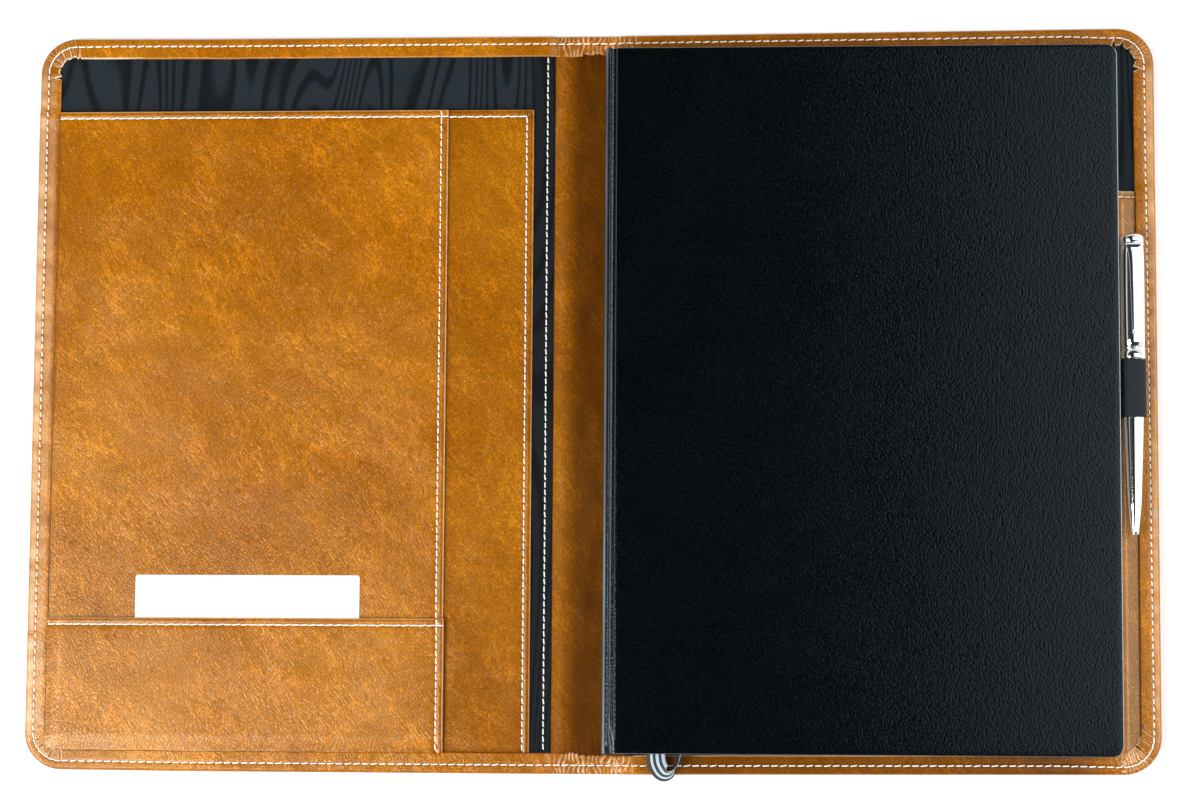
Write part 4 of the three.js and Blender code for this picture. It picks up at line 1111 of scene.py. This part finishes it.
def seam_dip(gap):
    """The dent that a row of stitches pulls into leather."""
    return 0.2 * ridge(gap, 0.9)


def shade_beside(gap, depth, reach):
    """The shade that a layer above throws on the one below, at a gap from its edge."""
    return depth * np.exp(-np.clip(gap, 0, 9) / reach) * (gap > 0)


def pocket(name, node_name, right, top_y, height, tuck, above=(None, None), shade=0.0):
    """A pocket of thin leather: cut edges at its top and right, and seams along both. Above is where the next
    layer ends on it, to the right and to the head. The shade is how much darker it is than the others."""
    stitch_x, stitch_y = right - POCKET_STITCH, top_y - POCKET_TOP_STITCH
    columns = edged(WINDOW_LEFT - SEAM_TUCK, right, POCKET_STEP, end_free=True)
    columns = with_rows(columns, stitch_x + SEAM_ROWS)
    rows = edged(WINDOW_LOW - SEAM_TUCK, top_y, POCKET_STEP, end_free=True)
    rows = with_rows(rows, stitch_y + SEAM_ROWS)
    above_x, above_y = above
    if above_x:
        columns = with_rows(columns, above_x + SHADE_ROWS)
    if above_y:
        rows = with_rows(rows, above_y + SHADE_ROWS)
    x, y = np.meshgrid(columns, rows)
    border = np.minimum(right - x, top_y - y)
    inside = np.minimum(x - WINDOW_LEFT, y - WINDOW_LOW)
    top = height + POCKET_WAVE * ripple(x, y, 38.0, 7) - seam_dip(x - stitch_x) - seam_dip(y - stitch_y)
    top = top + 0.12 * smoothstep(0.3, 1.6, border) * smoothstep(3.0, 1.8, border) - cut_drop(border)
    top = top - tuck * smoothstep(4.0, 0.4, inside)
    # A pale cut edge with a dark line inside it, painted shade in the seams' dents and where it tucks under
    # the turned-in leather, and the painted shadow of the layer above.
    tone = 0.3 * smoothstep(0.75, 0.2, border) - 0.35 * ridge(border - 1.0, 0.25)
    tone = tone - 0.28 * ridge(x - stitch_x, 0.7) - 0.28 * ridge(y - stitch_y, 0.7)
    tone = tone - shade - 0.35 * smoothstep(1.4, 0.0, inside)
    if above_x:
        tone = tone - shade_beside(x - above_x, 0.6, 0.7)
    if above_y:
        tone = tone - shade_beside(y - above_y, 0.45, 0.6)
    piece = panel(name, x, y, top, np.minimum(top - 0.1, height - POCKET_SHEET), LEATHER_LOOK, tone)
    hand_over(piece, "tan_leather", node_name, body="left_cover")
    return stitch_x, stitch_y


def pocket_seams(name, height, stitch, side_ends, top_ends):
    """A pocket's rows of stitches: one along its side, from low to high, and one along its top."""
    side_path = [(stitch[0], y) for y in side_ends]
    top_path = [(x, stitch[1]) for x in top_ends]
    seams = {"side": (side_path, SIDE_PITCH, STITCH_FILL), "top": (top_path, STITCH_PITCH, TIGHT_FILL)}
    for place, seam in seams.items():
        row = stitches(f"{name}_pocket_{place}_seam", [seam], lambda x, y: height - 0.22)
        hand_over(row, "tan_leather", body="left_cover")


back_stitch = pocket(
    "back_pocket_leather", "document_pocket_back", BACK_POCKET_EDGE, POCKET_TOP, BACK_POCKET_Z, 0.1,
    (FRONT_POCKET_EDGE, None), 0.2,
)
front_stitch = pocket(
    "front_pocket_leather", "document_pocket_front", FRONT_POCKET_EDGE, POCKET_TOP, FRONT_POCKET_Z, 0.2,
    (None, CARD_POCKET_TOP),
)
card_stitch = pocket(
    "card_pocket_leather", "card_pocket", CARD_POCKET_EDGE, CARD_POCKET_TOP, CARD_POCKET_Z, 1.25,
)
pocket_seams(
    "back", BACK_POCKET_Z, back_stitch, (WINDOW_LOW, back_stitch[1]), (FRONT_POCKET_EDGE, back_stitch[0]),
)
pocket_seams(
    "front", FRONT_POCKET_Z, front_stitch, (CARD_POCKET_TOP, POCKET_TOP), (WINDOW_LEFT, FRONT_POCKET_EDGE),
)
pocket_seams(
    "card", CARD_POCKET_Z, card_stitch, (WINDOW_LOW, CARD_POCKET_TOP), (WINDOW_LEFT, CARD_POCKET_EDGE),
)


# Slip pocket of the right cover

SLIP_FLANGE_Z = LINING_TOP + 0.9
SLIP_DROP = corners("notebook_front_board")[1][0] + 0.4
SLIP_DRAPE = 3.0
SLIP_STITCH = 2.6
SLIP_PITCH, SLIP_FILL = 3.0, 0.9


def slip_height(x):
    """The slip pocket's height: flat over the notebook's back board, and down to the lining past its edge."""
    return SLIP_FLANGE_Z + (SLIP_Z - SLIP_FLANGE_Z) * smoothstep(SLIP_DROP + SLIP_DRAPE, SLIP_DROP - 0.2, x)


def slip_pocket():
    """Thin leather over the notebook's back board, that drops past the board's edge to the lining."""
    drape_start, drape_end = SLIP_DROP - 2.0, SLIP_DROP + SLIP_DRAPE + 1.5
    flat = spaced(SLIP_LEFT, drape_start, 6.0)
    draped = spaced(drape_start, drape_end, 0.45)[1:]
    flange = spaced(drape_end, SLIP_FLANGE, 1.2)[1:]
    stitch_y = SLIP_TOP - SLIP_STITCH
    rows = with_rows(edged(SLIP_LOW, SLIP_TOP, POCKET_STEP, end_free=True), stitch_y + SEAM_ROWS)
    x, y = np.meshgrid(np.concatenate([flat, draped, flange]), rows)
    top = slip_height(x) + 0.05 * ripple(x, y, 22.0, 8) - cut_drop(SLIP_TOP - y) - seam_dip(y - stitch_y)
    # A pale cut edge at the top, a painted sheen on the flange past the board's edge, and painted shade in
    # the seam's dent.
    tone = 0.5 * smoothstep(0.7, 0.2, SLIP_TOP - y) + 0.16 * smoothstep(SLIP_DROP + 1.0, SLIP_DROP + 3.0, x)
    tone = tone - 0.25 * ridge(y - stitch_y, 0.7)
    piece = panel("slip_pocket_leather", x, y, top, top - POCKET_SHEET, LEATHER_LOOK, tone)
    hand_over(piece, "tan_leather", "notebook_pocket", body="right_cover")
    path = [(SLIP_LEFT + 2, stitch_y), (SLIP_FLANGE - 2, stitch_y)]
    row = stitches("slip_pocket_seam", [(path, SLIP_PITCH, SLIP_FILL)], lambda x, y: slip_height(x) - 0.2)
    hand_over(row, "tan_leather", body="right_cover")


slip_pocket()


# Notebook

SPINE_LOW, SPINE_HIGH = corners("notebook_spine")
BOARD_CORNER = 5.0
BOARD_EDGE = 0.55
BOOK_SPINE_RADIUS = 3.0
BOOK_SPINE_WALL = 1.2
CARD_CORNER = 1.2


def rounded_rectangle(low, high, inset, radius, left_radius):
    """An outline with round corners, inset from a box, going round from the lower left."""
    points = []
    wanted = [
        (low[0], low[1], left_radius, 180.0), (high[0], low[1], radius, 270.0),
        (high[0], high[1], radius, 0.0), (low[0], high[1], left_radius, 90.0),
    ]
    for corner_x, corner_y, size, start in wanted:
        size = max(size - inset, 0.15)
        centre_x = corner_x + (size + inset) * (1 if corner_x == low[0] else -1)
        centre_y = corner_y + (size + inset) * (1 if corner_y == low[1] else -1)
        points += arc((centre_x, centre_y), size, start, start + 90.0, 12)
    return points


def casing_board(name, node_name, body):
    """A board covered in leatherette. Its edges are rounded, with a painted glint on the top one away from
    the spine.
    """
    low, high = corners(node_name)
    quarter = arc((0.0, 0.0), BOARD_EDGE, 0.0, 90.0, 5)
    profile = [(BOARD_EDGE - up, low[2] + BOARD_EDGE - across) for across, up in quarter]
    profile += [(inset, high[2] + low[2] - z) for inset, z in reversed(profile)]
    rings, tones = [], []
    for inset, z in [(3.0, low[2]), *profile, (3.0, high[2])]:
        outline = rounded_rectangle(low, high, inset, BOARD_CORNER, 0.7)
        rings.append([(x, y, z) for x, y in outline])
        # A painted glint along the top of the rounded edge, full on the side away from the spine.
        grain_and_glint = 0.95 if 0.05 < inset < 0.36 and z > (low[2] + high[2]) / 2 else 0.0
        at_edge = [x > high[0] - 1.2 and abs(y) < high[1] - 2 for x, y in outline]
        tones.append([grain_and_glint if here else 0.12 * grain_and_glint for here in at_edge])
    piece = rings_mesh(name, rings, CASING_LOOK, tone=np.array(tones))
    hand_over(piece, "casing", node_name, body=body)


casing_board("front_casing_board", "notebook_front_board", "front_board")
casing_board("back_casing_board", "notebook_back_board", "notebook")


def casing_spine():
    """The casing's spine: a stiff strip with round shoulders, open towards the pages."""
    left, right = SPINE_LOW[0], SPINE_HIGH[0] - 0.9
    low, high = SPINE_LOW[2], SPINE_HIGH[2]
    outer, inner = BOOK_SPINE_RADIUS, BOOK_SPINE_RADIUS - BOOK_SPINE_WALL
    upper, lower = (left + outer, high - outer), (left + outer, low + outer)
    section = [
        (right, high), *arc(upper, outer, 90.0, 180.0, 10), *arc(lower, outer, 180.0, 270.0, 10),
        (right, low), (right, low + BOOK_SPINE_WALL),
        *arc(lower, inner, 270.0, 180.0, 10), *arc(upper, inner, 180.0, 90.0, 10),
        (right, high - BOOK_SPINE_WALL),
    ]
    rows = spaced(-1, 1, 2 / 60) * SPINE_HIGH[1]
    rings = [[(x, y, z) for x, z in section] for y in rows]
    # A painted glint along the left shoulder, stronger towards the tail.
    shoulder = np.array([0.62 * ridge(x - left - 0.75, 0.4) * (z > high - outer) for x, z in section])
    grain_and_glint = (0.35 + 0.35 * smoothstep(60.0, -140.0, rows)) * (1 + 0.4 * ripple(rows, 0.0, 60.0, 4))
    piece = rings_mesh("casing_spine", rings, CASING_LOOK, tone=np.outer(grain_and_glint, shoulder))
    hand_over(piece, "casing", "notebook_spine", body="notebook")


def joint_cloth():
    """The cloth joint between the spine and the front board, pressed into a groove that fades at the tail."""
    start, end = SPINE_HIGH[0] - 1.6, corners("notebook_front_board")[0][0] + 0.9
    share = np.linspace(0, 1, 27)
    groove = -0.85 * np.sin(math.pi * share) ** 1.5 + 0.06
    rows = spaced(-SPINE_HIGH[1] + 0.4, SPINE_HIGH[1] - 0.4, 2.0)
    x, y = np.meshgrid(start + (end - start) * share, rows)
    flat = smoothstep(133.0, 150.0, np.abs(y)) * (y < 0)
    top = SPINE_HIGH[2] + np.broadcast_to(groove, x.shape) * (1 - 0.6 * flat)
    lip = start + (end - start) * 0.16 + 2.6 * flat + 0.06 * ripple(y, 0.0, 23.0, 6)
    # Painted highlights along the groove's lip, stronger where the groove fades at the tail.
    tone = (0.3 + 0.15 * ripple(y, 0.0, 37.0, 5) + 0.3 * flat) * ridge(x - lip, 0.22)
    tone = tone + 0.35 * flat * ridge(x - lip + 1.4, 0.25)
    piece = panel("casing_joint", x, y, top, top - 0.35, CASING_LOOK, tone)
    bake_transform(piece)
    hand_over(piece, "casing")


casing_spine()
joint_cloth()


# Business card


def business_card():
    """A plain card with round corners and softened edges."""
    low, high = corners("business_card")
    rings = []
    for inset, z in ((0.05, low[2]), (0.0, low[2] + 0.08), (0.0, high[2] - 0.08), (0.05, high[2])):
        outline = rounded_rectangle(low, high, inset, CARD_CORNER, CARD_CORNER)
        rings.append([(x, y, z) for x, y in outline])
    hand_over(rings_mesh("plain_card", rings, CARD_LOOK), "white_card", "business_card", body="card")


business_card()


# Pen

PEN_X = HINGES["pen_twist"][0] / MM
PEN_TOP = corners("pen_crown")[1][1]
PEN_Z = (corners("pen_centre_ring")[0][2] + corners("pen_centre_ring")[1][2]) / 2
CROWN_RADIUS = 5.05
CROWN_RISE = 2.6
BARREL_RADIUS, BARREL_BORE = 5.25, 4.3
RING_RADIUS, RING_BORE = 5.3, 3.65
LOWER_RADIUS, LOWER_END_RADIUS, LOWER_BORE = 4.75, 3.0, 3.7
REFILL_BORE = 2.1
NOSE_BORE = 1.25
STUD_RADIUS = 2.0
WASHER_RADIUS, WASHER_BORE = 5.2, 2.15
BALL_RADIUS = 0.85
# Distances from the crown's top
CROWN_END = 4.7
WASHER_TOP, WASHER_END = 4.85, 5.65
BARREL_TOP, BARREL_END = 5.8, 49.3
RING_TOP, RING_END = 49.45, 54.35
LOWER_TOP, LOWER_END = 54.5, 116.05
NOSE_TOP, NOSE_END = 116.12, 128.8
BALL_AT = 42.6


def turned(name, profile, segments=72, centre_z=PEN_Z, **values):
    """A turned part of the pen, from [radius, distance from the crown's top] points of its section."""
    rings = []
    for radius, along in profile:
        radius = max(radius, 0.001)
        rings.append([
            (PEN_X + radius * math.cos(angle), PEN_TOP - along, centre_z + radius * math.sin(angle))
            for angle in full_circle(segments)
        ])
    return rings_mesh(name, rings, CHROME_LOOK, **values)


def pen_part(name, body, profile):
    """One turned part with a closed section, in the place of its CAD node."""
    piece = turned(name, profile, close_ends=False, weld=True)
    hand_over(piece, "chrome", "pen_" + name, body=body)


def pen_body():
    """The crown, the two barrels with a ring between them, and the nose cone."""
    dome = [(up, CROWN_RISE * (1 - across)) for across, up in arc((0.0, 0.0), 1.0, 0.0, 90.0, 14)]
    pen_part("crown", "pen_cap", [
        *((CROWN_RADIUS * out, along) for out, along in dome),
        (CROWN_RADIUS, CROWN_END - 0.15), (CROWN_RADIUS - 0.15, CROWN_END), (0.0, CROWN_END),
    ])
    upper = []
    for share in np.linspace(0, 1, 13):
        radius = BARREL_RADIUS - 0.12 + 0.12 * math.sin(share * math.pi)
        upper.append((radius, BARREL_TOP + 0.2 + share * (BARREL_END - BARREL_TOP - 0.4)))
    pen_part("upper_barrel", "pen_cap", [
        (STUD_RADIUS, BARREL_TOP), (BARREL_RADIUS - 0.35, BARREL_TOP), *upper,
        (BARREL_RADIUS - 0.3, BARREL_END), (BARREL_BORE, BARREL_END), (BARREL_BORE, BARREL_TOP + 3),
        (STUD_RADIUS, BARREL_TOP + 3), (STUD_RADIUS, BARREL_TOP),
    ])
    pen_part("centre_ring", "pen_cap", [
        (RING_BORE, RING_TOP), (RING_RADIUS - 0.15, RING_TOP), (RING_RADIUS, RING_TOP + 0.15),
        (RING_RADIUS, RING_TOP + 0.7), (RING_RADIUS - 0.2, RING_TOP + 0.8),
        (RING_RADIUS - 0.2, RING_TOP + 1.05), (RING_RADIUS, RING_TOP + 1.15),
        (RING_RADIUS, RING_END - 0.7), (RING_RADIUS - 0.1, RING_END - 0.3),
        (RING_RADIUS - 0.45, RING_END), (RING_BORE, RING_END), (RING_BORE, RING_TOP),
    ])
    lower = []
    for share in (*np.linspace(0, 1, 25)[:-1], 0.999, 1.0):
        radius = LOWER_RADIUS - (LOWER_RADIUS - LOWER_END_RADIUS) * share ** 1.6
        lower.append((radius, LOWER_TOP + share * (LOWER_END - LOWER_TOP)))
    pen_part("lower_barrel", "pen_barrel", [
        *lower, (REFILL_BORE, LOWER_END), (REFILL_BORE, LOWER_END - 45), (LOWER_BORE, LOWER_TOP + 12),
        (LOWER_BORE, LOWER_TOP), (LOWER_RADIUS, LOWER_TOP),
    ])
    pen_part("nose_cone", "pen_barrel", [
        (REFILL_BORE, NOSE_TOP), (2.96, NOSE_TOP), (2.98, NOSE_TOP + 0.04), (2.97, NOSE_TOP + 0.1),
        (2.67, NOSE_TOP + 3.0), (2.36, NOSE_TOP + 6.0), (2.05, NOSE_TOP + 9.0), (1.78, NOSE_END - 1.2),
        (1.68, NOSE_END - 0.2), (1.6, NOSE_END), (NOSE_BORE, NOSE_END), (NOSE_BORE, NOSE_END - 3),
        (1.8, NOSE_TOP + 3), (REFILL_BORE, NOSE_TOP),
    ])


pen_body()


def flattened(value, power):
    """A sine or cosine drawn towards 1 and -1, so that a circle of them turns into a flat oval."""
    return math.copysign(abs(value) ** power, value)


def pen_clip():
    """A strip that springs from under the crown in a broad V, runs along the barrel and ends in a ball."""
    crest, tip, thin = BARREL_RADIUS + 1.3, BARREL_RADIUS + 0.85, 0.35
    # Distance from the crown's top, height over the pen's axis, and width
    stations = smooth_line([
        (5.3, BARREL_RADIUS - 2.0, 7.6), (5.3, BARREL_RADIUS + 0.3, 7.2), (6.0, crest - 0.4, 6.6),
        (7.7, crest, 5.6), (11.0, crest - 0.02, 4.2), (19.3, crest - 0.25, 3.2), (31.3, tip + 0.3, 2.5),
        (40.8, tip + 0.1, 1.9), (43.8, tip + 0.25, 1.5),
    ], 0.6)
    rings = []
    for place, (along, height, width) in enumerate(stations):
        before, after = stations[max(place - 1, 0)], stations[min(place + 1, len(stations) - 1)]
        slope = math.atan2(after[1] - before[1], after[0] - before[0])
        ring = []
        for angle in full_circle(20):
            side = flattened(math.cos(angle), 0.6) * width / 2
            lift = flattened(math.sin(angle), 0.8) * thin
            y, z = PEN_TOP - along + lift * math.sin(slope), PEN_Z + height + lift * math.cos(slope)
            ring.append((PEN_X + side, y, z))
        rings.append(ring)
    hand_over(rings_mesh("clip_arm", rings, CHROME_LOOK), "chrome", "pen_clip", body="pen_cap")
    washer = turned("clip_washer", [
        (WASHER_BORE, WASHER_TOP), (WASHER_RADIUS - 0.1, WASHER_TOP), (WASHER_RADIUS, WASHER_TOP + 0.1),
        (WASHER_RADIUS, WASHER_END - 0.1), (WASHER_RADIUS - 0.1, WASHER_END), (WASHER_BORE, WASHER_END),
        (WASHER_BORE, WASHER_TOP),
    ], close_ends=False, weld=True)
    hand_over(washer, "chrome", body="pen_cap")
    half_circle = [(out, BALL_AT - back) for back, out in arc((0.0, 0.0), BALL_RADIUS, 0.0, 180.0, 12)]
    ball = turned("clip_ball", half_circle, 24, PEN_Z + tip - 0.15)
    hand_over(ball, "chrome", body="pen_cap")


pen_clip()


# Pen loop

LOOP_LOW, LOOP_HIGH = corners("pen_loop")
LOOP_INNER, LOOP_OUTER = 4.95, 5.45


def pen_loop():
    """A woven elastic band round the pen, with its two ends sewn under the turned-in leather. It bows out a
    little on top, and its two edges are rounded."""
    angles = np.linspace(-0.42 * math.pi, 1.4 * math.pi, 73)
    rows = np.concatenate([[-1, -0.985, -0.96], np.linspace(-0.92, 0.92, 30), [0.96, 0.985, 1]])
    middle, half = (LOOP_LOW[1] + LOOP_HIGH[1]) / 2, (LOOP_HIGH[1] - LOOP_LOW[1]) / 2 - 0.5
    low_z, high_z = LOOP_LOW[2], LOOP_LOW[2] + POCKET_SHEET
    rings = []
    for share in rows:
        y = middle + share * half
        ring = [
            (PEN_X + 0.4, y, low_z), (LOOP_HIGH[0], y, low_z), (LOOP_HIGH[0], y, high_z),
            (PEN_X + 2.6, y, high_z),
        ]
        radius = LOOP_OUTER - (LOOP_OUTER - LOOP_INNER) * 0.2 * max(0.0, (abs(share) - 0.95) / 0.05) ** 2
        for angle in angles:
            across, up = math.cos(angle), math.sin(angle)
            bow = 0.5 * max(up, 0.0)
            ring.append((PEN_X + radius * across, middle + share * (half + bow), PEN_Z + radius * up))
        rings.append(ring)
    hand_over(rings_mesh("loop_band", rings, ELASTIC_LOOK), "elastic", "pen_loop", body="right_cover")


pen_loop()


# Materials of the CAD nodes that stay

KEPT = {
    "text_block": EDGE_LOOK,
    "front_section": EDGE_LOOK,
    "flyleaf": PAPER_LOOK,
    "front_endpaper": BLACK_PAPER_LOOK,
    "rear_endpaper": BLACK_PAPER_LOOK,
    "left_cover_board": BOARD_LOOK,
    "right_cover_board": BOARD_LOOK,
    "head_band": PAPER_LOOK,
    "tail_band": PAPER_LOOK,
    "pen_twist_mechanism": BRASS_LOOK,
    "pen_refill": BRASS_LOOK,
}
for node_name, look in KEPT.items():
    kept = frame["nodes"][node_name]
    kept.data.materials.clear()
    kept.data.materials.append(look)
